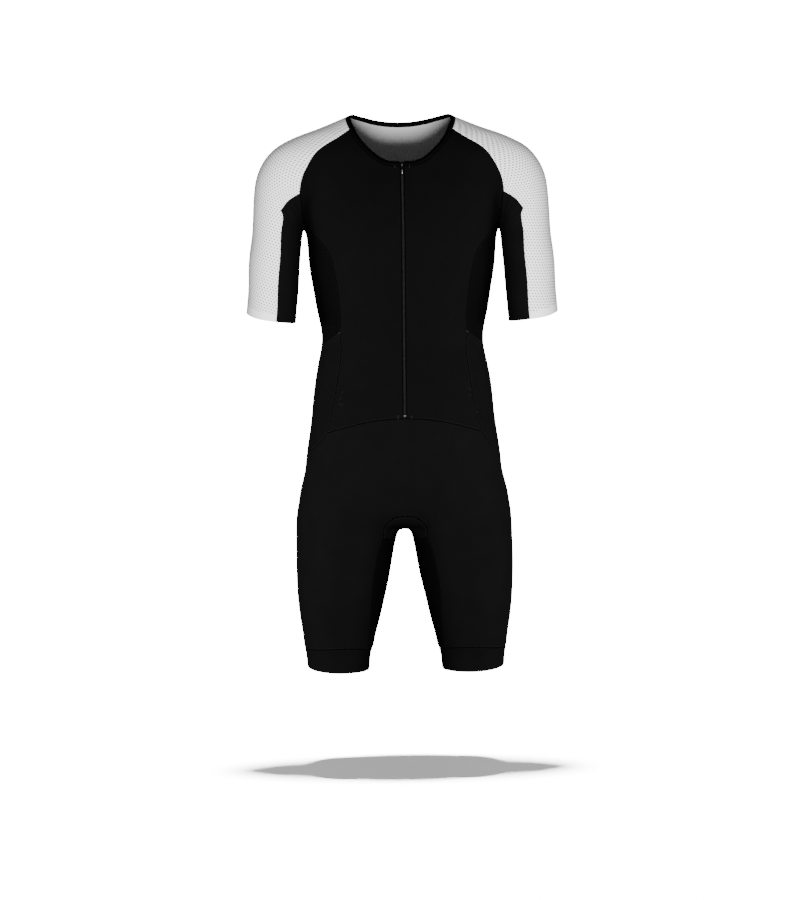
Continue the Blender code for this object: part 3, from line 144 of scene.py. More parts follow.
# Every seam of the left half: how many faces it is divided into, the face of the form that it lies on, and
# its points, each (across, height) on that face or (across, along, height) anywhere.
SEAMS = {
    # the neck edge in three stretches: front, over the shoulder and back
    "neck_front": (6, FRONT, (
        (ZIP_HALF, -0.0545), (0.0266, -0.052), (0.0415, -0.0435), (0.0585, -0.028), (0.0755, -0.005),
        (0.0785, 0.002),
    )),
    "neck_side": (8, FRONT, (
        (0.0785, 0.002), (0.0825, -0.024, 0.011), (0.0835, 0.006, 0.0225), (0.07, 0.036, 0.019),
        (0.045, 0.054, 0.0135),
    )),
    "neck_back": (5, BACK, ((0.045, 0.054, 0.0135), (0.024, 0.061, 0.011), (0.0, 0.063, 0.01))),
    "raglan_front": (8, FRONT, (
        (0.1055, -0.0131), (0.122, -0.0225), (0.141, -0.036), (0.1522, -0.0508), (0.1611, -0.0669),
        (0.1679, -0.0846), (0.1713, -0.1067),
    )),
    "raglan_back": (8, BACK, (
        (0.074, -0.006), (0.1, -0.025), (0.124, -0.047), (0.145, -0.073), (0.162, -0.1), (0.169, -0.117),
    )),
    # the black underarm panel swings out of the raglan seam in an arch, and its edges run down the sleeve
    "arch_front": (4, FRONT, (
        (0.1713, -0.1067), (0.1795, -0.1112), (0.1885, -0.1172), (0.196, -0.125), (0.203, -0.1345),
    )),
    "arch_back": (4, BACK, (
        (0.169, -0.117), (0.178, -0.1195), (0.188, -0.125), (0.196, -0.135), (0.201, -0.148),
    )),
    "sleeve_front": (8, FRONT, (
        (0.203, -0.1345), (0.2004, -0.1395), (0.2016, -0.164), (0.2038, -0.199), (0.2088, -0.255),
        (0.2115, -0.307), (0.213, -0.321),
    )),
    "sleeve_back": (8, BACK, (
        (0.201, -0.148), (0.2035, -0.175), (0.206, -0.21), (0.2095, -0.255), (0.2125, -0.307),
        (0.214, -0.321),
    )),
    "cuff_outer": (8, FRONT, (
        (0.213, -0.321), (0.242, -0.3165), (0.264, -0.002, -0.309), (0.242, BACK, -0.3165),
        (0.214, BACK, -0.321),
    )),
    "cuff_inner": (10, FRONT, (
        (0.213, -0.321), (0.193, -0.324), (0.18, -0.002, -0.326), (0.193, BACK, -0.324),
        (0.214, BACK, -0.321),
    )),
    # under the arm, in the bottom of the groove between the sleeve and the trunk
    "armhole_front": (2, FRONT, ((0.1713, -0.1067), (0.1688, -0.0435, -0.123), (0.1672, -0.031, -0.145))),
    "armhole_under": (6, BACK, (
        (0.1672, -0.031, -0.145), (0.1655, -0.015, -0.1655), (0.1645, 0.001, -0.172),
        (0.1652, 0.017, -0.1665), (0.1668, 0.034, -0.1465),
    )),
    "armhole_back": (2, BACK, ((0.1668, 0.034, -0.1465), (0.168, 0.044, -0.1315), (0.169, -0.117))),
    # the side mesh, the pocket and the waist
    "side_front": (8, FRONT, (
        (0.1672, -0.031, -0.145), (0.156, -0.16), (0.142, -0.179), (0.13, -0.193), (0.12, -0.211),
        (0.115, -0.232), (0.111, -0.255), (0.1077, -0.288), (0.1058, -0.319), (0.1075, -0.3366),
    )),
    "side_back": (8, BACK, (
        (0.1668, 0.034, -0.1465), (0.158, -0.158), (0.145, -0.182), (0.129, -0.215), (0.116, -0.26),
        (0.107, -0.31), (0.101, -0.38),
    )),
    "pocket_mouth": (6, FRONT, (
        (0.1075, -0.3366), (0.12, -0.348), (0.1385, 0.0, -0.366), (0.121, BACK, -0.377),
        (0.101, BACK, -0.38),
    )),
    "pocket_front": (7, FRONT, (
        (0.1075, -0.3366), (0.1046, -0.371), (0.1093, -0.406), (0.1158, -0.445), (0.124, -0.483),
        (0.13, -0.508),
    )),
    "pocket_back": (7, BACK, ((0.101, -0.38), (0.103, -0.43), (0.113, -0.49), (0.128, -0.548))),
    "waist_front": (6, FRONT, ((0.0, -0.4815), (0.05, -0.4856), (0.091, -0.495), (0.13, -0.508))),
    "waist_side": (6, FRONT, (
        (0.13, -0.508), (0.14, -0.523), (0.155, -0.538), (0.1645, 0.01, -0.548), (0.15, BACK, -0.55),
        (0.128, BACK, -0.548),
    )),
    "waist_back": (5, BACK, ((0.0, -0.53), (0.06, -0.535), (0.128, -0.548))),
    "yoke": (5, BACK, ((0.0, -0.15), (0.08, -0.143), (0.13, -0.131), (0.169, -0.117))),
    "outer_leg": (20, BACK, (
        (0.128, -0.548), (0.142, -0.62), (0.152, -0.7), (0.157, -0.78), (0.153, -0.88),
    )),
    # the gusset and the inside of the leg
    "gusset_front": (5, FRONT, (
        (0.0, -0.6476), (0.015, -0.6492), (0.028, -0.6575), (0.036, -0.669), (0.0376, -0.6885),
    )),
    "gusset_back": (5, BACK, (
        (0.0, -0.646), (0.015, -0.649), (0.028, -0.658), (0.035, -0.67), (0.037, -0.6885),
    )),
    "gusset_side": (6, FRONT, (
        (0.0376, -0.6885), (0.0215, -0.05, -0.695), (0.017, 0.006, -0.6965), (0.0215, 0.06, -0.695),
        (0.037, BACK, -0.6885),
    )),
    "inner_front": (8, FRONT, (
        (0.0376, -0.6885), (0.0458, -0.7108), (0.051, -0.735), (0.0556, -0.762), (0.058, -0.796),
        (0.064, -0.879),
    )),
    "inner_back": (8, BACK, (
        (0.037, -0.6885), (0.046, -0.712), (0.053, -0.745), (0.058, -0.796), (0.064, -0.88),
    )),
    # the top of the leg band and its hem
    "band_outer": (12, FRONT, (
        (0.064, -0.879), (0.085, -0.8755), (0.114, -0.874), (0.148, -0.877), (0.1722, 0.0, -0.88),
        (0.153, BACK, -0.88),
    )),
    "band_back": (5, BACK, ((0.153, -0.88), (0.114, -0.879), (0.064, -0.88))),
    "band_inner": (6, FRONT, ((0.064, -0.879), (0.056, -0.005, -0.8805), (0.064, BACK, -0.88))),
    "hem_outer": (12, FRONT, (
        (0.068, -0.918), (0.088, -0.9175), (0.115, -0.917), (0.145, -0.9155), (0.168, -0.004, -0.913),
        (0.15, BACK, -0.913),
    )),
    "hem_back": (5, BACK, ((0.15, -0.913), (0.115, -0.915), (0.068, -0.9175))),
    "hem_inner": (6, FRONT, ((0.068, -0.918), (0.0632, -0.004, -0.9185), (0.068, BACK, -0.9175))),
    "crotch": (6, FRONT, (
        (0.0, -0.6476), (0.0, -0.072, -0.666), (0.0, -0.03, -0.68), (0.0, 0.04, -0.68),
        (0.0, 0.086, -0.666), (0.0, BACK, -0.646),
    )),
}
CENTRE_FACES, BAND_FACES = 7, 2
# Where the rows of the front cross its straight edge at the zip, level with the corners of the outer edge.
ZIP_LEVELS = (-0.1380, -0.1640, -0.3440)
BACK_LEVELS = (-0.1780, -0.3850)

# Lines inside the form that the panels are spread around, as (across, height).
TRUNK_LINE = ((0.0, 0.06), (0.0, -0.95))
LEG_LINE = ((0.090, -0.46), (0.092, -0.66), (0.104, -0.76), (0.115, -0.95))
SLEEVE_LINE = (
    (0.075, -0.030), (0.125, -0.048), (0.170, -0.080), (0.194, -0.125), (0.206, -0.180), (0.216, -0.260),
    (0.224, -0.345),
)
OUTWARD, INWARD = 0.0, math.pi  # which way a panel faces from its line

# The zip's hardware sits in a frame of its own on the chest: x across, y up the cloth, z out of it.
HARDWARE_LEVEL = -0.0622
HINGE_UP, HINGE_OUT = -0.0030, 0.00275
PULL_WALL = 0.0011
SLIDER_FACE = 0.00165  # the front of the slider, from the form
PULL_TILT = math.radians(7)  # the pull lies back towards the cloth

# ---------------------------------------------------------------- smooth tables and lines


class SmoothTable:
    """The columns of a table as natural cubic splines of its first column."""

    def __init__(self, rows):
        data = np.array(rows, float)
        data = data[np.argsort(data[:, 0])]
        self.key, self.values = data[:, 0], data[:, 1:]
        step = np.diff(self.key)
        count = len(self.key)
        system = np.eye(count)
        right = np.zeros_like(self.values)
        for i in range(1, count - 1):
            system[i, i - 1 : i + 2] = step[i - 1], 2 * (step[i - 1] + step[i]), step[i]
            rise = (self.values[i + 1] - self.values[i]) / step[i]
            right[i] = 6 * (rise - (self.values[i] - self.values[i - 1]) / step[i - 1])
        self.bend = np.linalg.solve(system, right)

    def at(self, key):
        key = np.clip(key, self.key[0], self.key[-1])
        i = np.clip(np.searchsorted(self.key, key) - 1, 0, len(self.key) - 2)
        step = (self.key[i + 1] - self.key[i])[:, None]
        up = (key - self.key[i])[:, None] / step
        down = 1 - up
        straight = down * self.values[i] + up * self.values[i + 1]
        curl = (down**3 - down) * self.bend[i] + (up**3 - up) * self.bend[i + 1]
        return straight + curl * step**2 / 6


def walked_along(points):
    """How far each point lies from the first one, along the line through them."""
    return np.concatenate([[0.0], np.cumsum(np.linalg.norm(np.diff(points, axis=0), axis=1))])


def spline(points, count):
    """count points along the smooth line through the given ones."""
    points = np.asarray(points, float)
    walked = walked_along(points)
    return SmoothTable(np.column_stack([walked, points])).at(np.linspace(0.0, walked[-1], count))


def evenly(points, count):
    """count points at equal steps along a finely divided line."""
    walked = walked_along(points)
    wanted = np.linspace(0.0, walked[-1], count)
    return np.column_stack([np.interp(wanted, walked, column) for column in points.T])


def unit(rows):
    return rows / np.linalg.norm(rows, axis=1)[:, None]


# ---------------------------------------------------------------- the form

TORSO_TABLE, LEG_TABLE = SmoothTable(TORSO), SmoothTable(LEG)
ARM_STEPS = np.diff([(row.across, row.height) for row in ARM], axis=0)
ARM_WALK = np.concatenate([[0.0], np.cumsum(np.hypot(*ARM_STEPS.T))])
ARM_TABLE = SmoothTable(np.column_stack([ARM_WALK, ARM]))
ARM_PLACES = np.linspace(0.0, ARM_WALK[-1], 61)
ARM_POINTS = ARM_TABLE.at(ARM_PLACES)[:, :2]
NEWTON_STEP = 0.0005
SLOPE_STEP = 2e-5
LONGEST_MOVE = 0.02
FACE_SEARCH = np.linspace(0.22, -0.06, 141)  # from in front of the form to behind its middle
HALVINGS = 24
STEPS_PER_FACE = 12  # a seam is first drawn this much finer


def oval(across, along, half_width, half_depth, squareness):
    """How far outside an oval a point lies, measured from the oval's middle."""
    share = np.abs(across / half_width) ** squareness + np.abs(along / half_depth) ** squareness
    share = np.maximum(share, 1e-12) ** (1 / squareness)
    return np.hypot(across, along) * (1 - 1 / share)


def soft_union(a, b, fillet):
    share = np.clip(0.5 + 0.5 * (b - a) / fillet, 0.0, 1.0)
    return b + (a - b) * share - fillet * share * (1 - share)


def fade(value, zero_at, one_at):
    share = np.clip((value - zero_at) / (one_at - zero_at), 0.0, 1.0)
    return share * share * (3 - 2 * share)


def torso(x, y, z):
    half_width, front, back, squareness = TORSO_TABLE.at(z).T
    inside = oval(x, y - (front + back) / 2, half_width, (back - front) / 2, squareness)
    closed = -soft_union(-inside, -(TORSO[-1].height - z), BOTTOM_ROUNDING)
    return np.maximum(closed, z - TORSO[0].height)


def arm(x, y, z):
    """Measured from the nearest place on the arm's bent middle line, found by Newton's method."""
    flat = np.column_stack([x, z])
    place = ARM_PLACES[((flat[:, None] - ARM_POINTS) ** 2).sum(2).argmin(1)]
    step = NEWTON_STEP
    for _ in range(3):
        place = np.clip(place, step, ARM_WALK[-1] - step)
        before, here, after = (ARM_TABLE.at(place + shift)[:, :2] for shift in (-step, 0.0, step))
        run = (after - before) / (2 * step)
        bend = (after - 2 * here + before) / step**2
        miss = flat - here
        place += (miss * run).sum(1) / np.maximum((run**2).sum(1) - (miss * bend).sum(1), 0.2)
    here = ARM_TABLE.at(np.clip(place, 0.0, ARM_WALK[-1]))
    away = np.linalg.norm(flat - here[:, :2], axis=1)
    return oval(away, y - here[:, 4], here[:, 2], here[:, 3], ARM_SQUARENESS)


def leg(x, y, z):
    inner, outer, front, back, squareness = LEG_TABLE.at(z).T
    across = np.sqrt(x**2 + LEG_PARTING**2) - (inner + outer) / 2
    along = y - (front + back) / 2
    inside = oval(across, along, (outer - inner) / 2, (back - front) / 2, squareness)
    return np.maximum(inside, z - LEG[0].height)


def trunk_alone(points):
    return torso(np.abs(points[:, 0]), points[:, 1], points[:, 2])


def arm_alone(points):
    return arm(np.abs(points[:, 0]), points[:, 1], points[:, 2])


def form(points):
    """Below zero inside the filled suit, above zero outside, and close to a distance near its surface."""
    x, y, z = np.abs(points[:, 0]), points[:, 1], points[:, 2]
    shoulder = fade(z, -0.150, -0.070)
    fillet = ARMPIT_FILLET + (SHOULDER_FILLET - ARMPIT_FILLET) * shoulder
    upper = soft_union(torso(x, y, z), arm(x, y, z), fillet)
    between_legs = fade(x, 0.120, 0.050)
    at_groin = fade(np.abs(y - 0.010), 0.030, 0.080)
    crotch = CROTCH_FILLET + (GROIN_FILLET - CROTCH_FILLET) * at_groin
    return soft_union(upper, leg(x, y, z), HIP_FILLET + (crotch - HIP_FILLET) * between_legs)


def slope(points, shape=form):
    columns = []
    for axis in np.eye(3):
        rise = shape(points + SLOPE_STEP * axis) - shape(points - SLOPE_STEP * axis)
        columns.append(rise / (2 * SLOPE_STEP))
    return np.column_stack(columns)


def onto_form(points, shape=form, steps=14):
    """The points moved along the shape's slope until they lie on its surface."""
    points = np.array(points, float)
    for _ in range(steps):
        direction = slope(points, shape)
        move = shape(points) / np.maximum((direction**2).sum(1), 0.05)
        move = move[:, None] * direction
        length = np.maximum(np.linalg.norm(move, axis=1), 1e-12)
        points -= move * np.minimum(1.0, LONGEST_MOVE / length)[:, None]
    return points


def outward(points):
    return unit(slope(points))


def on_face(across, height, face):
    """The point on the form's front or back face at one place across and up."""
    count = len(FACE_SEARCH)
    column = np.column_stack([np.full(count, across), face * FACE_SEARCH, np.full(count, height)])
    first = int((form(column) < 0).argmax())
    low, high = FACE_SEARCH[first], FACE_SEARCH[first - 1]
    for _ in range(HALVINGS):
        middle = (low + high) / 2
        if form(np.array([[across, face * middle, height]]))[0] < 0:
            low = middle
        else:
            high = middle
    return (across, face * low, height)


def edge_at(across, heights, face):
    return np.array([on_face(across, height, face) for height in heights])


# ---------------------------------------------------------------- seams


def seam(name, start=()):
    """The points of a seam at equal steps, all on the form. It may start from a point known already."""
    count, face, places = SEAMS[name]
    given = [*start]
    for place in places:
        across, along, height = place if len(place) == 3 else (place[0], face, place[1])
        given.append(on_face(across, height, along) if abs(along) == BACK else (across, along, height))
    fine = onto_form(spline(onto_form(given), STEPS_PER_FACE * FINER * count + 1))
    return onto_form(evenly(fine, FINER * count + 1))


def side(names, lines):
    """Seams laid end to end as one side of a panel. A minus sign turns a seam round."""
    parts = [lines[name[1:]][::-1] if name[0] == "-" else lines[name] for name in names.split()]
    return np.vstack([parts[0]] + [part[1:] for part in parts[1:]])


def moved_to(point, across):
    """The point with its place across set, back on the form's front or back there."""
    return on_face(across, point[2], math.copysign(1.0, point[1]))


def into_groove(points):
    """The points moved to the bottom of the groove beside the sleeve, where the form faces neither side."""
    longest_step = 0.0008
    for _ in range(30):
        points = onto_form(points + longest_step * outward(points) * (1.0, 0.0, 0.0))
    return points


def lower_edge(neck_edge):
    """The neck edge moved down the form by the width of the binding."""
    down = unit(np.cross(np.gradient(neck_edge, axis=0), outward(neck_edge)))
    return onto_form(neck_edge + BINDING_WIDTH * down)


def top_of(name):
    """The height of a seam's first point."""
    return SEAMS[name][2][0][-1]


def straight_edge(across, face, stops, counts):
    """A straight edge on the front or the back, with a number of faces between each two stops."""
    heights = [stops[0]]
    for start, end, count in zip(stops, stops[1:], counts):
        heights.extend(np.linspace(start, end, FINER * count + 1)[1:])
    return edge_at(across, heights, face)


def faces_of(names):
    return [SEAMS[name][0] for name in names.split()]


@lru_cache(maxsize=None)
def seam_lines():
    """Every seam of the left half as points on the form."""
    lines = {name: seam(name) for name in SEAMS if not name.startswith("raglan")}
    low = lower_edge(side("neck_front neck_side neck_back", lines))
    low[0] = moved_to(low[0], ZIP_HALF)
    low[-1] = moved_to(low[-1], 0.0)
    at_front = len(lines["neck_front"]) - 1
    at_back = at_front + len(lines["neck_side"]) - 1
    lines["under_front"] = low[: at_front + 1]
    lines["under_side"] = low[at_front : at_back + 1]
    lines["under_back"] = low[at_back:]
    lines["raglan_front"] = seam("raglan_front", low[[at_front]])
    lines["raglan_back"] = seam("raglan_back", low[[at_back]])
    groove = into_groove(side("armhole_front armhole_under armhole_back", lines)[1:-1])
    before = len(lines["armhole_front"]) - 1
    after = before + len(lines["armhole_under"]) - 1
    lines["armhole_front"][1:] = groove[:before]
    lines["armhole_under"] = groove[before - 1 : after]
    lines["armhole_back"][:-1] = groove[after - 1 :]
    lines["side_front"][0] = lines["armhole_under"][0]
    lines["side_back"][0] = lines["armhole_under"][-1]
    stops = (low[0][2], *ZIP_LEVELS, top_of("waist_front"))
    counts = faces_of("raglan_front armhole_front side_front pocket_front")
    lines["zip_edge"] = straight_edge(ZIP_HALF, FRONT, stops, counts)
    past_zip = np.vstack([lines["zip_edge"][-1:], lines["waist_front"][2:]])
    lines["waist_past_zip"] = onto_form(evenly(past_zip, len(lines["waist_front"])), form, 3)
    lines["waist_past_zip"][0] = lines["zip_edge"][-1]
    stops = (top_of("yoke"), *BACK_LEVELS, top_of("waist_back"))
    lines["back_middle"] = straight_edge(0.0, BACK, stops, faces_of("armhole_back side_back pocket_back"))
    lines["yoke_middle"] = straight_edge(0.0, BACK, (low[-1][2], top_of("yoke")), faces_of("raglan_back"))
    for name, face in (("front", FRONT), ("back", BACK)):
        stops = (top_of(f"waist_{name}"), top_of(f"gusset_{name}"))
        lines[f"{name}_centre"] = straight_edge(0.0, face, stops, (CENTRE_FACES,))
    return lines


# ---------------------------------------------------------------- nets


class SpreadLine:
    """A line in the XZ plane. Each point of space has a place along it, a turn round it and a reach."""

    def __init__(self, points):
        flat = spline(points, 201) if len(points) > 2 else np.linspace(points[0], points[1], 201)
        self.points = flat
        run = np.gradient(flat, axis=0)
        self.steps = np.linalg.norm(run, axis=1)
        self.runs = run / self.steps[:, None]
        self.normals = np.column_stack([-self.runs[:, 1], self.runs[:, 0]])

    def read(self, points, facing):
        gap = points[:, None, [0, 2]] - self.points
        nearest = (gap**2).sum(2).argmin(1)
        near = gap[np.arange(len(points)), nearest]
        past = (near * self.runs[nearest]).sum(1) / self.steps[nearest]
        out = (near * self.normals[nearest]).sum(1)
        turn = np.arctan2(points[:, 1], out) - facing
        turn = (turn + math.pi) % (2 * math.pi) - math.pi
        return np.column_stack([nearest + np.clip(past, -0.5, 0.5), turn, np.hypot(out, points[:, 1])])

    def write(self, places, facing):
        index = np.arange(len(self.points))
        middle = [np.interp(places[:, 0], index, column) for column in self.points.T]
        normal = [np.interp(places[:, 0], index, column) for column in self.normals.T]
        turn = places[:, 1] + facing
        out = places[:, 2] * np.cos(turn)
        through = places[:, 2] * np.sin(turn)
        return np.column_stack([middle[0] + out * normal[0], through, middle[1] + out * normal[1]])


def net(top, bottom, left, right, spread=None, facing=OUTWARD, first_onto=form):
    """Points between four sides: top and bottom run from left to right, left and right from top to bottom.

    Where the sleeve runs close beside the trunk, first_onto names the one that the panel belongs to.
    """
    sides = [top, bottom, left, right]
    if spread:
        sides = [spread.read(points, facing) for points in sides]
    a, b, c, d = sides
    down = np.linspace(0.0, 1.0, len(left))[:, None, None]
    over = np.linspace(0.0, 1.0, len(top))[None, :, None]
    between_rows = (1 - down) * a[None] + down * b[None]
    between_columns = (1 - over) * c[:, None] + over * d[:, None]
    corners = (1 - down) * ((1 - over) * a[0] + over * a[-1]) + down * ((1 - over) * b[0] + over * b[-1])
    grid = between_rows + between_columns - corners
    flat = grid.reshape(-1, 3)
    flat = onto_form(spread.write(flat, facing) if spread else flat, first_onto, 9)
    points = onto_form(flat, form, 2 if first_onto is form else 8).reshape(grid.shape)
    points[0], points[-1], points[:, 0], points[:, -1] = top, bottom, left, right
    return points


# ---------------------------------------------------------------- creases

# Each runs over three places, (across, height), on the front or the back, and then has a width and a depth.
# A trough has soft ridges on both sides; a negative depth makes a ridge.
CREASES = records(
    "face start middle end width depth",
    # from the left armpit out over the black underarm panel, and up beside the tip of its arch
    (FRONT, (0.204, -0.127), (0.1935, -0.1395), (0.18, -0.156), 0.0026, 0.0005),
    (FRONT, (0.1985, -0.143), (0.19, -0.1545), (0.181, -0.166), 0.0024, 0.0003),
    (FRONT, (0.189, -0.121), (0.1812, -0.1325), (0.1748, -0.145), 0.002, 0.0006),
    (FRONT, (0.212, -0.11), (0.2062, -0.119), (0.2022, -0.129), 0.0017, 0.0003),
    # the same at the right armpit, where the sleeve hangs a little differently
    (FRONT, (-0.188, -0.1265), (-0.1792, -0.137), (-0.172, -0.148), 0.0022, 0.0007),
    (FRONT, (-0.196, -0.1365), (-0.1872, -0.145), (-0.179, -0.156), 0.002, 0.0006),
    (FRONT, (-0.212, -0.1045), (-0.2052, -0.117), (-0.199, -0.1295), 0.0018, 0.0005),
    (FRONT, (-0.205, -0.1005), (-0.1998, -0.112), (-0.1962, -0.1225), 0.0016, 0.0004),
    # behind the armpits
    (BACK, (0.201, -0.14), (0.19, -0.152), (0.179, -0.164), 0.003, 0.0006),
    (BACK, (0.189, -0.129), (0.18, -0.138), (0.173, -0.15), 0.0024, 0.0004),
    (BACK, (-0.197, -0.142), (-0.187, -0.153), (-0.177, -0.161), 0.0028, 0.0006),
    # across the small of the back
    (BACK, (-0.062, -0.393), (0.002, -0.4015), (0.07, -0.395), 0.0075, 0.001),
    (BACK, (-0.03, -0.429), (0.021, -0.427), (0.074, -0.415), 0.0068, 0.0007),
    (BACK, (-0.108, -0.412), (-0.08, -0.39), (-0.048, -0.378), 0.0056, 0.0006),
    # under the seat and behind the knees
    (BACK, (0.036, -0.67), (0.07, -0.692), (0.118, -0.696), 0.007, 0.001),
    (BACK, (-0.036, -0.676), (-0.072, -0.695), (-0.105, -0.693), 0.0064, 0.0008),
    (BACK, (0.076, -0.844), (0.101, -0.8525), (0.128, -0.855), 0.0052, 0.0005),
    (BACK, (-0.086, -0.852), (-0.11, -0.851), (-0.136, -0.843), 0.005, 0.0004),
)
# Short lines on the front where the knit drags to the pockets: painted highlights on ridges, in pale thread.
RIDGE_HIGHLIGHT_LINES = (
    ((-0.1062, -0.442), (-0.101, -0.435)), ((-0.113, -0.456), (-0.102, -0.443)),
    ((-0.1115, -0.4615), (-0.105, -0.4545)), ((-0.108, -0.463), (-0.101, -0.456)),
    ((-0.1145, -0.431), (-0.108, -0.432)), ((0.1035, -0.43), (0.1158, -0.4412)),
    ((0.1022, -0.447), (0.1158, -0.4572)), ((0.105, -0.4425), (0.115, -0.45)),
    ((0.1195, -0.47), (0.125, -0.479)),
)
RIDGE_HIGHLIGHT_WIDTH = 0.00035
CREASE_POINTS = 14
CREASE_REACH = 4.5  # in widths of the crease
RIDGE_AT, RIDGE_WIDTH, RIDGE_SHARE = 1.7, 0.8, 0.5  # the ridges beside a trough, in widths and depths of it

# Long soft waves keep the cloth from lying like a mould: the length of each, its direction and its start.
WAVES = records(
    "length across along up start",
    (0.118, 0.72, 0.20, 0.66, 0.4),
    (0.083, -0.55, 0.31, 0.78, 2.1),
    (0.061, 0.31, -0.72, 0.62, 4.4),
    (0.047, 0.84, 0.40, -0.36, 1.2),
)


@lru_cache(maxsize=None)
def crease_lines():
    """Each crease as a fine line on the form."""
    lines = []
    for crease in CREASES:
        places = (crease.start, crease.middle, crease.end)
        given = [on_face(across, height, crease.face) for across, height in places]
        lines.append(onto_form(spline(given, CREASE_POINTS)))
    return lines


def near_line(points, line):
    """How far each point is from a line, and its share of the way along it."""
    starts, steps = line[:-1], np.diff(line, axis=0)
    gap = points[:, None] - starts[None]
    share = np.clip((gap * steps).sum(2) / (steps**2).sum(1), 0.0, 1.0)
    away = np.linalg.norm(gap - share[:, :, None] * steps, axis=2)
    nearest = away.argmin(1)
    rows = np.arange(len(points))
    return away[rows, nearest], (nearest + share[rows, nearest]) / len(steps)


def relief(points):
    """How far the cloth stands off the form, and how much painted light its crease ridges get there, 0 to 1.
    """
    sizes = bpy.context.scene.suit_sizes
    height, drawn = np.zeros(len(points)), np.zeros(len(points))
    for wave in WAVES:
        turn = 2 * math.pi / wave.length
        phase = turn * (points @ np.array([wave.across, wave.along, wave.up])) + wave.start
        height += sizes.unevenness / len(WAVES) * np.sin(phase)
    for crease, line in zip(CREASES, crease_lines()):
        reach = CREASE_REACH * crease.width
        close = ((points > line.min(0) - reach) & (points < line.max(0) + reach)).all(1)
        if not close.any():
            continue
        away, along = near_line(points[close], line)
        away /= crease.width
        fading = np.sin(math.pi * np.clip(along, 0.0, 1.0)) ** 0.7
        ridge = np.exp(-(((away - RIDGE_AT) / RIDGE_WIDTH) ** 2))
        trough = np.exp(-(away**2))
        height[close] += sizes.crease_depth * crease.depth * fading * (RIDGE_SHARE * ridge - trough)
        # how much painted light each ridge gets: a highlight on the lycra, shade on the mesh
        drawn[close] = np.maximum(drawn[close], fading * ridge)
    return height, drawn


# ---------------------------------------------------------------- cloth

ROLL_STEPS = (0.0008, 0.0020)  # two more rows of points beside each edge carry its roll into the seam
ROLL_SHARES = (0.3, 0.65)  # the most that they may take of the first face
ON_MIDDLE = 1e-6
NO_EDGE = 1.0  # stands for a distance to an edge that isn't there


def edged(grid):
    """The net with the rows for the roll added beside its first row."""
    a, b, c = grid[0], grid[1], grid[2]
    length = np.maximum(np.linalg.norm(b - a, axis=1), 1e-9)
    rows = [a[None]]
    for step, most in zip(ROLL_STEPS, ROLL_SHARES):
        share = np.minimum(step / length, most)[:, None]
        row = a * (share - 1) * (share - 2) / 2 + b * share * (2 - share) + c * share * (share - 1) / 2
        rows.append(row[None])
    return np.concatenate(rows + [grid[1:]])


class Half:
    """The left half of a panel: its net and normals, its measure and the distance to its edges."""

    def __init__(self, grid, middle=None, closed=False, hemmed=False):
        grid = edged(edged(grid)[::-1])[::-1]
        if not closed:
            turned = grid.transpose(1, 0, 2)
            if middle != "first":
                turned = edged(turned)
            if middle != "last":
                turned = edged(turned[::-1])[::-1]
            grid = turned.transpose(1, 0, 2)
        self.grid, self.closed = grid, closed
        self.normals = outward(grid.reshape(-1, 3)).reshape(grid.shape)
        across = np.linalg.norm(np.diff(grid, axis=1), axis=2)
        down = np.linalg.norm(np.diff(grid, axis=0), axis=2)
        from_first = np.pad(np.cumsum(across, axis=1), ((0, 0), (1, 0)))
        from_top = np.pad(np.cumsum(down, axis=0), ((1, 0), (0, 0)))
        to_last = from_first[:, -1:] - from_first
        to_bottom = from_top[-1:] - from_top
        self.width, self.length = from_first[:, -1].max(), from_top[-1].max()
        origin = {"first": 0, "last": -1}.get(middle, grid.shape[1] // 2)
        self.measure = np.stack([from_first - from_first[:, [origin]], to_bottom], axis=2)
        edges = [from_top, to_bottom]
        if not closed:
            for distance, column in ((from_first, grid[:, 0]), (to_last, grid[:, -1])):
                on_middle = np.abs(column[:, 0]) < ON_MIDDLE
                edges.append(np.where(on_middle[:, None], NO_EDGE, distance))
        self.edge = np.minimum.reduce(edges)
        self.hem = to_bottom if hemmed else np.full_like(to_bottom, NO_EDGE)
        cells = np.cross(grid[1:, 1:] - grid[:-1, :-1], grid[1:, :-1] - grid[:-1, 1:])
        self.area = 0.5 * np.linalg.norm(cells, axis=2).sum()

    def line_at(self, distance):
        """The line on the cloth at one distance from its bottom edge."""
        grid = self.grid[::-1]
        walked = np.pad(np.cumsum(np.linalg.norm(np.diff(grid, axis=0), axis=2), axis=0), ((1, 0), (0, 0)))
        columns = []
        for j in range(grid.shape[1]):
            columns.append([np.interp(distance, walked[:, j], grid[:, j, k]) for k in range(3)])
        return np.array(columns)


def quads_of(values):
    """For each cell of a net, the values at its four corners in turn."""
    corners = (values[:-1, :-1], values[1:, :-1], values[1:, 1:], values[:-1, 1:])
    return np.stack([corner.reshape(-1, *values.shape[2:]) for corner in corners], 1)


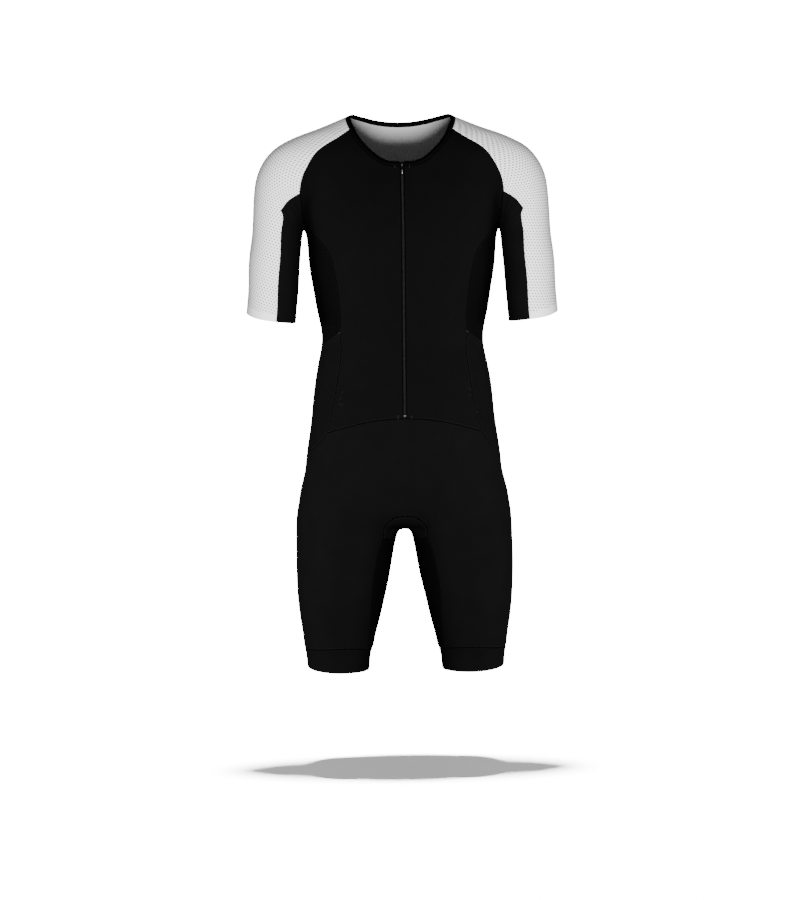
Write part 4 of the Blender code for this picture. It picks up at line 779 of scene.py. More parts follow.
def wall_mesh(name, half, flips):
    """A closed wall of cloth: outer face, inner face and rim, with UVs in metres and its weights.

    flips lists the sides that it covers: 1 is the left and -1 the right. Two sides are joined in the middle.
    """
    sizes = bpy.context.scene.suit_sizes
    rows, columns, _ = half.grid.shape
    count = rows * columns
    points, normals, faces, corners = [], [], [], []
    for turn, flip in enumerate(flips):
        signs = np.array([flip, 1.0, 1.0])
        placed = half.grid.reshape(-1, 3) * signs
        index = turn * count + np.arange(count)
        if turn:
            index[np.abs(placed[:, 0]) < ON_MIDDLE] -= count
        index = index.reshape(rows, columns)
        if half.closed:
            index[:, -1] = index[:, 0]
        order = slice(None) if flip > 0 else slice(None, None, -1)
        points.append(placed)
        normals.append(half.normals.reshape(-1, 3) * signs)
        faces.append(quads_of(index)[:, order])
        corners.append(quads_of(half.measure * signs[:2])[:, order])
    points, normals, faces, corners = (np.vstack(parts) for parts in (points, normals, faces, corners))
    edge, hem = np.tile(half.edge.reshape(-1), len(flips)), np.tile(half.hem.reshape(-1), len(flips))
    height, drawn = relief(points)
    share = np.clip(edge / ROLL_STEPS[-1], 0.0, 1.0)
    rolled = sizes.seam_roll * (1 - share) ** 2 * (1 + 2 * share)
    outer = points + normals * (height - rolled)[:, None]
    inner = points + normals * (height - sizes.wall)[:, None]
    ways = {}
    for face, corner in zip(faces.tolist(), corners.tolist()):
        for k in range(4):
            ways[(face[k], face[(k + 1) % 4])] = (corner[k], corner[(k + 1) % 4])
    rim, rim_corners = [], []
    for (a, b), (at_a, at_b) in ways.items():
        if (b, a) not in ways:
            rim.append((b, a, a + len(points), b + len(points)))
            rim_corners.append((at_b, at_a, at_a, at_b))
    every_face = np.vstack([faces, faces[:, ::-1] + len(points), np.array(rim)])
    every_corner = np.vstack([corners, corners[:, ::-1], np.array(rim_corners)])
    used = np.zeros(2 * len(points), bool)
    used[every_face.reshape(-1)] = True
    renumbered = np.cumsum(used) - 1
    mesh = bpy.data.meshes.new(name)
    mesh.from_pydata(np.vstack([outer, inner])[used].tolist(), [], renumbered[every_face].tolist())
    mesh.uv_layers.new(name="cloth").data.foreach_set("uv", every_corner.reshape(-1).astype(np.float32))
    none, full = np.zeros_like(hem), np.ones_like(hem)
    weights = {"hem": (hem, hem), "edge": (edge, edge), "drawn": (drawn, drawn), "inside": (none, full)}
    for label, values in weights.items():
        attribute = mesh.attributes.new(label, "FLOAT", "POINT")
        attribute.data.foreach_set("value", np.concatenate(values)[used].astype(np.float32))
    mesh.validate()
    mesh.shade_smooth()
    mesh.set_sharp_from_angle(angle=math.radians(50))
    return mesh


def place(mesh, name, finish_name, body="suit", slot=None, nodes=()):
    """The mesh as a piece of the suit that moves with one body, and stands for the solids it dresses."""
    obj = bpy.data.objects.new(name, mesh)
    mesh.materials.append(finish(finish_name))
    bpy.context.scene.collection.objects.link(obj)
    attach(obj, body)
    if nodes:
        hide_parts(*nodes)
    return obj


def sew(name, finish_name, slot):
    """The one panel that crosses the middle plane, or both panels of a pair, each with its own creases."""
    half = panels()[name]
    pieces = {f"{name}_left": (1.0,), f"{name}_right": (-1.0,)}
    if name in frame["nodes"]:
        pieces = {name: (1.0, -1.0)}
    for node, flips in pieces.items():
        piece = f"{node}_cloth"
        obj = place(wall_mesh(piece, half, flips), piece, finish_name, slot=slot, nodes=(node,))


@lru_cache(maxsize=None)
def panels():
    """Every panel's left half between its seams."""
    lines = seam_lines()
    trunk, sleeve, leg_line = SpreadLine(TRUNK_LINE), SpreadLine(SLEEVE_LINE), SpreadLine(LEG_LINE)

    def between(top, bottom, left, right, spread=None, facing=OUTWARD, first_onto=form, **kind):
        sides = [side(names, lines) for names in (top, bottom, left, right)]
        return Half(net(*sides, spread, facing, first_onto), **kind)

    armhole = "-armhole_back -armhole_under -armhole_front"
    front_side = "raglan_front armhole_front side_front pocket_front"
    back_side = "-armhole_back side_back pocket_back"
    side_seams = ("side_front", "side_back")
    sleeve_front, sleeve_back = "arch_front sleeve_front", "arch_back sleeve_back"
    centre_front, centre_back = "front_centre gusset_front inner_front", "back_centre gusset_back inner_back"
    made = {
        "front": between("under_front", "waist_past_zip", "zip_edge", front_side, trunk),
        "side": between("armhole_under", "pocket_mouth", *side_seams, trunk, first_onto=trunk_alone),
        "pocket": between("pocket_mouth", "waist_side", "pocket_front", "pocket_back", trunk),
        "back_lower": between("-yoke", "-waist_back", back_side, "back_middle", trunk, middle="last"),
        "back_yoke": between("under_back", "-yoke", "raglan_back", "yoke_middle", trunk, middle="last"),
        "sleeve": between(
            "under_side", "cuff_outer", f"raglan_front {sleeve_front}", f"raglan_back {sleeve_back}", sleeve,
            hemmed=True,
        ),
        "underarm": between(
            armhole, "-cuff_inner", sleeve_back, sleeve_front, sleeve, INWARD, arm_alone, hemmed=True
        ),
        "shorts_front": between("waist_front waist_side", "band_outer", centre_front, "outer_leg", leg_line),
        "shorts_back": between("-waist_back", "band_back", "outer_leg", centre_back, leg_line),
        "inner_thigh": between("-gusset_side", "-band_inner", "inner_back", "inner_front", leg_line, INWARD),
        "gusset": between("gusset_front", "gusset_back", "crotch", "gusset_side", middle="first"),
    }
    top = side("band_outer band_back -band_inner", lines)
    hem = side("hem_outer hem_back -hem_inner", lines)
    share = np.linspace(0.0, 1.0, FINER * BAND_FACES + 1)[:, None, None]
    rows = (1 - share) * top[None] + share * hem[None]
    rows[1:-1] = onto_form(rows[1:-1].reshape(-1, 3)).reshape(rows[1:-1].shape)
    made["leg_band"] = Half(rows, closed=True, hemmed=True)
    return made


# ---------------------------------------------------------------- finishes

# The sockets of a Mix node that mixes colours.
MIX_SHARE, MIX_FIRST, MIX_SECOND, MIX_RESULT = 0, 6, 7, 2
BANDS = 2 * math.pi / 20  # a wave texture has one band for each tenth of pi of its scaled coordinate
WALE = 0.0011  # real wales are 0.35 mm apart; three are drawn as one, so that they show at all
HEM_BLUR = 0.0002


def linear(text):
    """A colour from its sRGB hex text."""
    channels = []
    for at in (1, 3, 5):
        value = int(text[at : at + 2], 16) / 255
        channels.append(value / 12.92 if value <= 0.04045 else ((value + 0.055) / 1.055) ** 2.4)
    return channels


def add(tree, kind, inputs=None, **settings):
    """A node with its settings, and its inputs set to values or linked to other nodes' sockets."""
    made = tree.nodes.new(kind)
    for name, value in settings.items():
        setattr(made, name, value)
    for key, value in (inputs or {}).items():
        if isinstance(value, bpy.types.NodeSocket):
            tree.links.new(value, made.inputs[key])
        else:
            made.inputs[key].default_value = value
    return made


def new_finish(name, **constants):
    """An empty Principled finish, with what is the same all over set on the shader itself."""
    made = bpy.data.materials.new(name)
    made.use_nodes = True
    tree = made.node_tree
    shader = tree.nodes["Principled BSDF"]
    for socket, value in constants.items():
        shader.inputs[socket.replace("_", " ")].default_value = value
    return made, tree, shader


def mixed(tree, share, *colours):
    """Two colours mixed by a share."""
    first, second = (one if isinstance(one, bpy.types.NodeSocket) else (*one, 1.0) for one in colours)
    inputs = {MIX_SHARE: share, MIX_FIRST: first, MIX_SECOND: second}
    return add(tree, "ShaderNodeMix", inputs, data_type="RGBA").outputs[MIX_RESULT]


def scaled_colour(colour, factor):
    return [channel * factor for channel in colour]


def between_shades(tree, share, colour, dark, pale):
    """A colour that goes from a darker to a paler shade of itself by a share."""
    return mixed(tree, share, scaled_colour(colour, dark), scaled_colour(colour, pale))


def tinted(tree, tone, share, most, colour, shade):
    """The tone drawn towards one shade of a colour, by a share that counts for at most a part."""
    return mixed(tree, maths(tree, "MULTIPLY", share, most), tone, scaled_colour(colour, shade))


def maths(tree, operation, *values):
    return add(tree, "ShaderNodeMath", dict(enumerate(values)), operation=operation).outputs[0]


def vector_maths(tree, operation, *values):
    made = add(tree, "ShaderNodeVectorMath", dict(enumerate(values)), operation=operation)
    return made.outputs["Value" if operation == "LENGTH" else "Vector"]


def weight(tree, name):
    """One of the weights that the cloth carries: edge, hem, the crease ridges for painted light, or inside.
    """
    return add(tree, "ShaderNodeAttribute", attribute_name=name).outputs["Fac"]


def turned_measure(tree, angle):
    """The cloth's own measure in metres, turned by an angle."""
    uv = add(tree, "ShaderNodeUVMap", uv_map="cloth").outputs[0]
    return add(tree, "ShaderNodeMapping", {"Vector": uv, "Rotation": (0.0, 0.0, angle)}).outputs[0]


def hole_distance(tree, pitch, stretch, angle):
    """The distance to the nearest hole's middle, where the holes lie in offset rows a pitch apart."""
    cell = (pitch * stretch, pitch * math.sqrt(3.0), 1.0)
    scaled = vector_maths(tree, "DIVIDE", turned_measure(tree, angle), cell)
    distances = []
    for shift in ((0.0, 0.0, 0.0), (0.5, 0.5, 0.0)):
        part = vector_maths(tree, "FRACTION", vector_maths(tree, "ADD", scaled, shift))
        centred = vector_maths(tree, "SUBTRACT", part, (0.5, 0.5, 0.0))
        real = vector_maths(tree, "MULTIPLY", centred, (cell[0] / stretch, cell[1], 0.0))
        distances.append(vector_maths(tree, "LENGTH", real))
    return maths(tree, "MINIMUM", *distances)


def soft_step(tree, value, low, high):
    """1 below the low value and 0 above the high one."""
    inputs = {"Value": value, "From Min": low, "From Max": high, "To Min": 1.0, "To Max": 0.0}
    return add(tree, "ShaderNodeMapRange", inputs, interpolation_type="SMOOTHSTEP").outputs[0]


def cloudy(tree, size, detail=2.0):
    """Soft blotches of one size in metres, from 0 to 1."""
    spot = add(tree, "ShaderNodeTexCoord").outputs["Object"]
    return add(tree, "ShaderNodeTexNoise", {"Vector": spot, "Scale": 1 / size, "Detail": detail}).outputs[0]


def ribs(tree, period, angle=0.0):
    """Parallel ribs with one period in metres, from 0 to 1."""
    inputs = {"Vector": turned_measure(tree, angle), "Scale": BANDS / period}
    return add(tree, "ShaderNodeTexWave", inputs).outputs["Fac"]


def bumped(tree, shader, height, distance, strength=1.0):
    made = add(tree, "ShaderNodeBump", {"Height": height, "Distance": distance, "Strength": strength})
    tree.links.new(made.outputs[0], shader.inputs["Normal"])


def coloured(tree, shader, tone):
    tree.links.new(tone, shader.inputs["Base Color"])


def seam_shade(tree, tone, colour, reach):
    """The tone darkened with painted shade where the cloth rolls into its seam."""
    near = soft_step(tree, weight(tree, "edge"), reach * 0.5, reach)
    return tinted(tree, tone, near, 0.85, colour, 0.12)


def lycra(name, colour, seam_reach=0.0011):
    """Fine knitted wales run down it; crease ridges get a painted highlight and seams painted shade."""
    made, tree, shader = new_finish(name, Roughness=0.74, Specular_IOR_Level=0.0, Sheen_Weight=0.0)
    wales = ribs(tree, WALE)
    tone = between_shades(tree, cloudy(tree, 0.035), colour, 0.86, 1.14)
    tone = tinted(tree, tone, wales, 0.22, colour, 0.6)
    # painted highlight along the crease ridges
    tone = tinted(tree, tone, weight(tree, "drawn"), 0.35, colour, 1.6)
    coloured(tree, shader, seam_shade(tree, tone, colour, seam_reach))
    bumped(tree, shader, wales, 0.00008)
    return made


def open_mesh(name, ground, hole, pitch, hole_size, angle, stretch=1.0):
    """Round holes in offset rows show what lies behind the knit as a darker dot.

    The turned hem is double and plain, and the inner face is painted darker: painted shade from inside the
    suit.
    """
    hem_depth = bpy.context.scene.suit_sizes.hem_depth
    made, tree, shader = new_finish(name, Roughness=0.8, Specular_IOR_Level=0.0)
    distance = hole_distance(tree, pitch, stretch, math.radians(angle))
    holes = soft_step(tree, distance, hole_size * 0.30, hole_size * 0.62)
    doubled = soft_step(tree, weight(tree, "hem"), hem_depth - HEM_BLUR, hem_depth + HEM_BLUR)
    holes = maths(tree, "MULTIPLY", holes, maths(tree, "SUBTRACT", 1.0, doubled))
    tone = between_shades(tree, cloudy(tree, 0.020), ground, 0.95, 1.0)
    # painted shade along the crease ridges
    tone = tinted(tree, tone, weight(tree, "drawn"), 0.10, ground, 0.55)
    # the holes of the knit, in a grey that is painted shade of what lies behind them
    tone = mixed(tree, holes, tone, hole)
    # painted shade: the inner face darker, as it lies in the suit's own shade
    tone = mixed(tree, weight(tree, "inside"), tone, scaled_colour(ground, 0.45))
    coloured(tree, shader, tone)
    knit = maths(tree, "MULTIPLY", ribs(tree, 0.0012), 0.15)
    bumped(tree, shader, maths(tree, "SUBTRACT", knit, holes), 0.0003, 0.7)
    return made


def black_mesh(name, colour):
    """Small holes that are stretched out sideways, barely darker than the knit round them."""
    pitch = bpy.context.scene.suit_sizes.black_mesh_pitch
    return open_mesh(name, colour, scaled_colour(colour, 0.35), pitch, 0.0022, 24, 0.75)


def white_mesh(name, colour):
    """Grey dots on white: holes in the knit, their grey the painted shade of the inside of the suit behind
    them.
    """
    sizes, hole = bpy.context.scene.suit_sizes, list(bpy.context.scene.suit_colours.white_hole)
    return open_mesh(name, colour, hole, sizes.white_mesh_pitch, sizes.hole_size, 10)


def elastic(name, colour):
    """Fine cords run round the elastic, and it is a little smoother than the lycra."""
    made, tree, shader = new_finish(name, Roughness=0.6, Specular_IOR_Level=0.0)
    cords = ribs(tree, 0.0022, math.radians(90))
    tone = between_shades(tree, cloudy(tree, 0.03), colour, 0.85, 1.15)
    tone = tinted(tree, tone, cords, 0.35, colour, 0.5)
    # painted shade where the band rolls into its seams
    coloured(tree, shader, seam_shade(tree, tone, colour, 0.0012))
    bumped(tree, shader, cords, 0.00015)
    return made


def fibre(name, colour, roughness, shine, grain, dark, pale, relief_depth=None):
    """Tape, thread or nylon: one grain gives it darker and paler flecks, and the tape its woven surface."""
    made, tree, shader = new_finish(name, Roughness=roughness, Specular_IOR_Level=shine)
    flecks = cloudy(tree, grain)
    coloured(tree, shader, between_shades(tree, flecks, colour, dark, pale))
    if relief_depth:
        bumped(tree, shader, flecks, relief_depth)
    return made


def metal(name, colour, roughness):
    """Cast metal: the finish is a little rubbed, and darker in patches."""
    made, tree, shader = new_finish(name, Metallic=1.0)
    rubbed = cloudy(tree, 0.0018, 3.0)
    coloured(tree, shader, between_shades(tree, rubbed, colour, 0.7, 1.15))
    inputs = {"Value": rubbed, "To Min": roughness - 0.06, "To Max": roughness + 0.10}
    tree.links.new(add(tree, "ShaderNodeMapRange", inputs).outputs[0], shader.inputs["Roughness"])
    bumped(tree, shader, rubbed, 0.00004)
    return made


# Roughness, shine, grain in metres, darkest and palest shade and, for the tape, the depth of its weave.
TAPE = (0.7, 0.0, 0.0012, 0.6, 1.4, 0.0001)  # flat and matt, with a slight herringbone
THREAD = (0.5, 0.05, 0.0006, 0.75, 1.2)  # twisted, a touch glossier than the cloth it holds
NYLON = (0.45, 0.08, 0.004, 0.8, 1.2)  # moulded, with a soft sheen on each tooth

# Each finish: what it is made of and how, the function that makes it, and what that needs besides the colour.
FINISHES = {
    "lycra": ("Circular-knit lycra, dyed black", lycra),
    "shorts_lycra": ("Heavier warp-knit lycra, dyed black", lycra),
    "underarm_lycra": ("Light stretch lycra, dyed black", lycra),
    # a wider reach: a broader band of painted shade round the gusset's seams
    "gusset_lycra": ("Doubled lycra over a seat pad, dyed black", lycra, 0.0036),
    "black_mesh": ("Warp-knit mesh, dyed black", black_mesh),
    "white_mesh": ("Warp-knit mesh, bleached white", white_mesh),
    "gripper": ("Corded woven elastic, black", elastic),
    "binding": ("Folded lycra binding, black", fibre, *TAPE),
    "zip_tape": ("Woven polyester zip tape, black", fibre, *TAPE),
    "coil": ("Moulded nylon zip teeth, black", fibre, *NYLON),
    "black_thread": ("Twisted polyester thread, black", fibre, *THREAD),
    # black thread painted paler: painted sheen on topstitching
    "pale_thread": ("Twisted polyester thread, worn charcoal", fibre, *THREAD),
    # black thread painted paler still: a painted highlight on the packed bar tacks
    "tack_thread": ("Twisted polyester thread, packed in bar tacks", fibre, *THREAD),
    "white_thread": ("Twisted polyester thread, white", fibre, *THREAD),
    "slider_metal": ("Die-cast zinc, lacquered black", metal, 0.42),
    "bare_metal": ("Die-cast zinc, lacquer polished off", metal, 0.28),
    # pale metal for the slider's rib: a painted highlight
    "slider_highlight_metal": ("Die-cast zinc, lacquer rubbed thin", metal, 0.36),
    "stop_metal": ("Pressed steel, nickel plated", metal, 0.35),
}


def finish(name):
    """One of the suit's finishes, made when it is first asked for."""
    label, maker, *needed = FINISHES[name]
    colour = list(getattr(bpy.context.scene.suit_colours, name))
    return bpy.data.materials.get(label) or maker(label, colour, *needed)


# ---------------------------------------------------------------- thread

STITCH_FACES = ((0, 2, 3), (0, 3, 4), (0, 4, 5), (0, 5, 2), (1, 3, 2), (1, 4, 3), (1, 5, 4), (1, 2, 5))
MIRRORED = (-1.0, 1.0, 1.0)
TACK_SPACING, TACK_LEAN = 0.0006, 0.0002

# The threads of the two rows beside each seam of the left half: the row to the left of the seam as seen from
# outside, and the row to its right.
ROW_OFFSET = 0.0018
ROWS = (
    ("white", "black", "raglan_front arch_front sleeve_front"),
    ("white", "white", "raglan_back"),
    ("black", "white", "arch_back sleeve_back yoke"),
    ("black", "black", "side_front side_back outer_leg gusset_side"),
    ("pale", "black", "waist_front waist_side waist_back"),
    ("pale", "pale", "pocket_front pocket_back gusset_front gusset_back"),
    ("black", None, "armhole_back inner_front"),
    (None, "black", "armhole_front inner_back band_inner"),
    ("pale", None, "band_outer band_back"),
    (None, "pale", "pocket_mouth"),
)
# Rows at another distance: the seam, the offset and the thread.
FAR_ROWS = (
    ("pocket_mouth", -0.0085, "black"),
    ("gusset_front", -0.0044, "pale"),
    ("zip_edge", 0.0024, "black"),
)

# Bar tacks at both ends of the zip and at the corners of the pocket mouths.
TACKS = records(
    "across face height direction length width",
    (0.0120, FRONT, -0.0632, (0.25, 0.0, 1.0), 0.0050, 0.0012),
    (0.0112, FRONT, -0.4790, (0.0, 0.0, 1.0), 0.0055, 0.0012),
    (0.1070, FRONT, -0.3395, (1.0, 0.0, -0.8), 0.0045, 0.0016),
    (0.1030, BACK, -0.3835, (1.0, 0.0, 0.1), 0.0045, 0.0016),
)


class Threads:
    """Stitches of one thread, gathered into one mesh."""

    def __init__(self):
        self.points, self.faces = [], []

    def add(self, start, end, normal, thickness):
        """One stitch as a slim spindle lying on the cloth: its two ends and a ring of four points between."""
        first = len(self.points)
        beside_it = np.cross(end - start, normal)
        beside_it *= thickness / max(np.linalg.norm(beside_it), 1e-12)
        middle = (start + end) / 2
        up = normal * thickness
        self.points += [start, end, middle + beside_it, middle + up, middle - beside_it, middle - 0.5 * up]
        self.faces += [tuple(first + k for k in face) for face in STITCH_FACES]

    def row(self, line, mirrored, lift=0.25):
        """A row of stitches along a line on the form, lifted off the cloth by a share of the thread."""
        sizes = bpy.context.scene.suit_sizes
        count = max(int(walked_along(line)[-1] / sizes.stitch_pitch), 1)
        places = evenly(line, 2 * count + 1)
        starts = places[:-1:2]
        ends = starts + (places[2::2] - starts) * (sizes.stitch_length / sizes.stitch_pitch)
        if mirrored:
            starts, ends = starts * MIRRORED, ends * MIRRORED
        middles = (starts + ends) / 2
        heights = relief(middles)[0] + sizes.thread * lift
        for start, end, normal, height in zip(starts, ends, outward(middles), heights):
            self.add(start + normal * height, end + normal * height, normal, sizes.thread / 2)

    def ridge_highlight_line(self, places):
        """A painted highlight on a small ridge on the front: one pale spindle in a straight line."""
        ends = np.array([on_face(across, height, FRONT) for across, height in places])
        middle = onto_form(np.array([np.mean(ends, axis=0)]))
        normal = outward(middle)[0]
        start, end = ends + normal * relief(middle)[0][0]
        self.add(start, end, normal, RIDGE_HIGHLIGHT_WIDTH)

    def tack(self, tack, flip):
        """A bar tack: stitches packed across a short bar on the cloth."""
        thickness = bpy.context.scene.suit_sizes.thread
        spot = on_face(tack.across, tack.height, tack.face)
        middle = onto_form(np.array([spot]) * (flip, 1.0, 1.0))
        normal = outward(middle)[0]
        direction = np.array(tack.direction) * (flip, 1.0, 1.0)
        direction -= normal * (direction @ normal)
        direction /= np.linalg.norm(direction)
        half = np.cross(normal, direction) * tack.width / 2
        lift = relief(middle)[0][0] + thickness * 0.5
        count = int(tack.length / TACK_SPACING)
        for k in range(count + 1):
            centre = middle[0] + normal * lift + direction * tack.length * (k / count - 0.5)
            lean = direction * TACK_LEAN * (1 if k % 2 else -1)
            self.add(centre - half + lean, centre + half - lean, normal, thickness / 2)

    def place(self, name, finish_name):
        mesh = bpy.data.meshes.new(name)
        mesh.from_pydata(np.array(self.points).tolist(), [], self.faces)
        mesh.shade_smooth()
        place(mesh, name, finish_name)


def beside(line, offset):
    """A line moved sideways over the form: to its left as seen from outside for a positive offset."""
    sideways = unit(np.cross(outward(line), np.gradient(line, axis=0)))
    return onto_form(line + offset * sideways, form, 5)


def seam_rows():
    """The rows of stitches beside the seams of the left half, each with its thread."""
    lines = seam_lines()
    rows = [(beside(lines[seam_name], offset), thread) for seam_name, offset, thread in FAR_ROWS]
    for left, right, names in ROWS:
        for thread, offset in ((left, ROW_OFFSET), (right, -ROW_OFFSET)):
            if thread:
                rows += [(beside(lines[seam_name], offset), thread) for seam_name in names.split()]
    return rows


# ---------------------------------------------------------------- binding, zip and hardware

BINDING_TURNS = 20
BINDING_HALF_WALL = 0.00115
BINDING_SPREAD = 0.0007  # the folds stand past the width of the sewn tape on both sides
BINDING_SQUARENESS = 0.55  # below 1 the section of the folded tape is fuller than an ellipse
BINDING_ROUND = 0.020  # the measure round the section, for its weave

TAPE_TOP = -0.0553  # the folded ends of the tapes, just under the neck edge
TAPE_HALF = 0.0040  # the tapes run on a little under both fronts
TAPE_SUNK, TAPE_WALL, TAPE_RIDGE = 0.00075, 0.0006, 0.0002
TOOTH_PITCH = 0.0016
TOOTH_REACH, TOOTH_OVERLAP, TOOTH_RADIUS, TOOTH_SUNK = 0.00185, 0.0003, 0.00050, 0.0001
TOOTH_SIDES = 6
TEETH_BELOW = 0.004  # the first tooth shows this far below the slider

# A polished rib with rounded ends: its width, the places of both ends up its part, and its height.
PULL_RIB, SLIDER_RIB = records(
    "width low high proud", (0.0011, -0.0112, -0.0042, 0.00028), (0.0017, -0.0006, 0.0036, 0.00035)
)
RIB_SUNK = 0.0001
RIB_TOP, RIB_TOP_LENGTH = 0.72, 0.25  # how narrow its top is, and how much of that its length takes up
RIB_END_POINTS = 9


def tube_faces(rings, size, first=0):
    """The faces of a tube of rings of points that follow one another, with both ends shut."""
    faces = []
    for start in range(first, first + (rings - 1) * size, size):
        for j in range(size):
            a, b = start + j, start + (j + 1) % size
            faces.append((a, b, b + size, a + size))
    faces.append(tuple(first + j for j in reversed(range(size))))
    faces.append(tuple(first + (rings - 1) * size + j for j in range(size)))
    return faces


def solid_mesh(name, points, faces, sharp=None, corners=None):
    """A smooth closed mesh facing outward, sharp above an angle in degrees, with UVs if corners are given."""
    mesh = bpy.data.meshes.new(name)
    mesh.from_pydata(np.reshape(points, (-1, 3)).tolist(), [], faces)
    if corners is not None:
        mesh.uv_layers.new(name="cloth").data.foreach_set("uv", corners.reshape(-1).astype(np.float32))
    work = bmesh.new()
    work.from_mesh(mesh)
    bmesh.ops.recalc_face_normals(work, faces=work.faces)
    work.to_mesh(mesh)
    work.free()
    mesh.shade_smooth()
    if sharp:
        mesh.set_sharp_from_angle(angle=math.radians(sharp))
    return mesh


def both_sides(rows):
    """Rows that end at the middle of the back, run on over the right half."""
    return np.concatenate([rows, rows[:-1][::-1] * MIRRORED])


def binding_sections():
    """Round the neck from the front edge of the left side to the back: middles, and the way down and out."""
    lines = seam_lines()
    top = side("neck_front neck_side neck_back", lines)
    low = side("under_front under_side under_back", lines)
    down = low - top
    width = np.linalg.norm(down, axis=1)
    down /= width[:, None]
    out = outward((top + low) / 2)
    out -= down * (out * down).sum(1)[:, None]
    return top, down, unit(out), width


def binding_mesh(name):
    """The folded tape as one closed loop of rounded sections from one end at the zip to the other."""
    top, down, out, width = binding_sections()
    turns = np.linspace(0.0, 2 * math.pi, BINDING_TURNS, endpoint=False)
    across = np.sign(np.cos(turns)) * np.abs(np.cos(turns)) ** BINDING_SQUARENESS
    through = np.sign(np.sin(turns)) * np.abs(np.sin(turns)) ** BINDING_SQUARENESS
    middle = top + down * (width / 2)[:, None] - out * BINDING_HALF_WALL * 0.75
    half = (width / 2 + BINDING_SPREAD)[:, None, None] * across[None, :, None] * down[:, None]
    thick = BINDING_HALF_WALL * through[None, :, None] * out[:, None]
    rings = both_sides(middle[:, None] + half + thick)
    points = rings.reshape(-1, 3)
    height, _ = relief(points)
    points = points + np.repeat(both_sides(out), BINDING_TURNS, axis=0) * height[:, None]
    walked = walked_along(both_sides(middle))
    around = np.linspace(0.0, BINDING_ROUND, BINDING_TURNS + 1)
    corners = quads_of(np.stack(np.meshgrid(around, walked), axis=2))[:, [0, 3, 2, 1]].reshape(-1, 2)
    corners = np.vstack([corners, np.zeros((2 * BINDING_TURNS, 2))])
    return solid_mesh(name, points, tube_faces(len(rings), BINDING_TURNS), 50, corners), float(walked[-1])


def front_frame(height):
    """The frame on the middle of the front at one height: x across, y up the cloth, z out of it."""
    spot = edge_at(0.0, [height], FRONT)
    out = Vector(outward(spot)[0])
    out.x = 0.0
    out.normalize()
    across = Vector((1.0, 0.0, 0.0))
    up = out.cross(across)
    return Matrix.Translation(Vector(spot[0])) @ Matrix((across, up, out)).transposed().to_4x4()


def out_of_front(points):
    """The way out of the cloth at points on the middle of the front, without any lean to the side."""
    return unit(outward(points) * (0.0, 1.0, 1.0))


def zip_points():
    """The middle of the closed zip from its top to its bottom."""
    edge = seam_lines()["zip_edge"][:, 2]
    heights = np.concatenate([np.linspace(TAPE_TOP, edge[0], 4)[:-1], edge])
    return edge_at(0.0, heights, FRONT)


def tapes_mesh(name):
    """Both tapes as one strip with a low ridge in its middle, swept along the zip."""
    low, high = -TAPE_SUNK - TAPE_WALL, -TAPE_SUNK
    ridge = (0.0, high + TAPE_RIDGE)
    section = ((-TAPE_HALF, low), (TAPE_HALF, low), (TAPE_HALF, high), ridge, (-TAPE_HALF, high))
    points = zip_points()
    normals = out_of_front(points)
    rings = []
    for point, normal in zip(points, normals):
        rings.append([point + np.array([across, 0.0, 0.0]) + out * normal for across, out in section])
    height, _ = relief(points)
    rings = np.array(rings) + (normals * height[:, None])[:, None]
    return solid_mesh(name, rings, tube_faces(len(points), len(section)), 40)


def teeth_mesh(name):
    """The teeth of the closed zip: from both sides in turn, each a rounded bar that hooks past the middle."""
    points = zip_points()
    count = int(walked_along(points)[-1] / TOOTH_PITCH)
    places = evenly(points, 2 * count + 1)[1:-1]
    height, _ = relief(places)
    steps = unit(np.gradient(places, axis=0))
    turns = np.linspace(0.0, 2 * math.pi, TOOTH_SIDES, endpoint=False)
    sizes = ((-TOOTH_OVERLAP, 0.75), (TOOTH_REACH * 0.75, 1.0), (TOOTH_REACH, 0.6))
    verts, faces = [], []
    for k, (spot, way, step, up) in enumerate(zip(places, out_of_front(places), steps, height)):
        if spot[2] > HARDWARE_LEVEL - TEETH_BELOW:
            continue
        base = spot + way * (up - TOOTH_SUNK)
        faces += tube_faces(len(sizes), TOOTH_SIDES, len(verts))
        for reach, size in sizes:
            centre = base + np.array([reach if k % 2 else -reach, 0.0, 0.0])
            for turn in turns:
                ring = step * math.cos(turn) + way * math.sin(turn) * 0.9
                verts.append(centre + ring * TOOTH_RADIUS * size)
    return solid_mesh(name, verts, faces)


def polished_rib(name, rib, place_of, face):
    """A long low bar on the face of the pull or the slider."""
    radius = rib.width / 2
    outline = []
    for start, middle in ((0.0, rib.high - radius), (math.pi, rib.low + radius)):
        for turn in np.linspace(start, start + math.pi, RIB_END_POINTS):
            outline.append((radius * math.cos(turn), middle + radius * math.sin(turn)))
    centre = (rib.low + rib.high) / 2
    levels = ((1.0, face - RIB_SUNK), (1.0, face + rib.proud * 0.5), (RIB_TOP, face + rib.proud))
    points = []
    for size, out in levels:
        for across, up in outline:
            shrunk = centre + (up - centre) * (1 - (1 - size) * RIB_TOP_LENGTH)
            points.append(place_of @ Vector((across * size, shrunk, out)))
    return solid_mesh(name, points, tube_faces(len(levels), len(outline)), 55)


# ---------------------------------------------------------------- what a user would change


def length_property(name, description, default):
    settings = {"name": name, "description": description, "default": default}
    return bpy.props.FloatProperty(**settings, unit="LENGTH", precision=5)


def colour_property(name, description, text):
    settings = {"name": name, "description": description, "default": linear(text)}
    return bpy.props.FloatVectorProperty(**settings, subtype="COLOR", min=0.0, max=1.0)


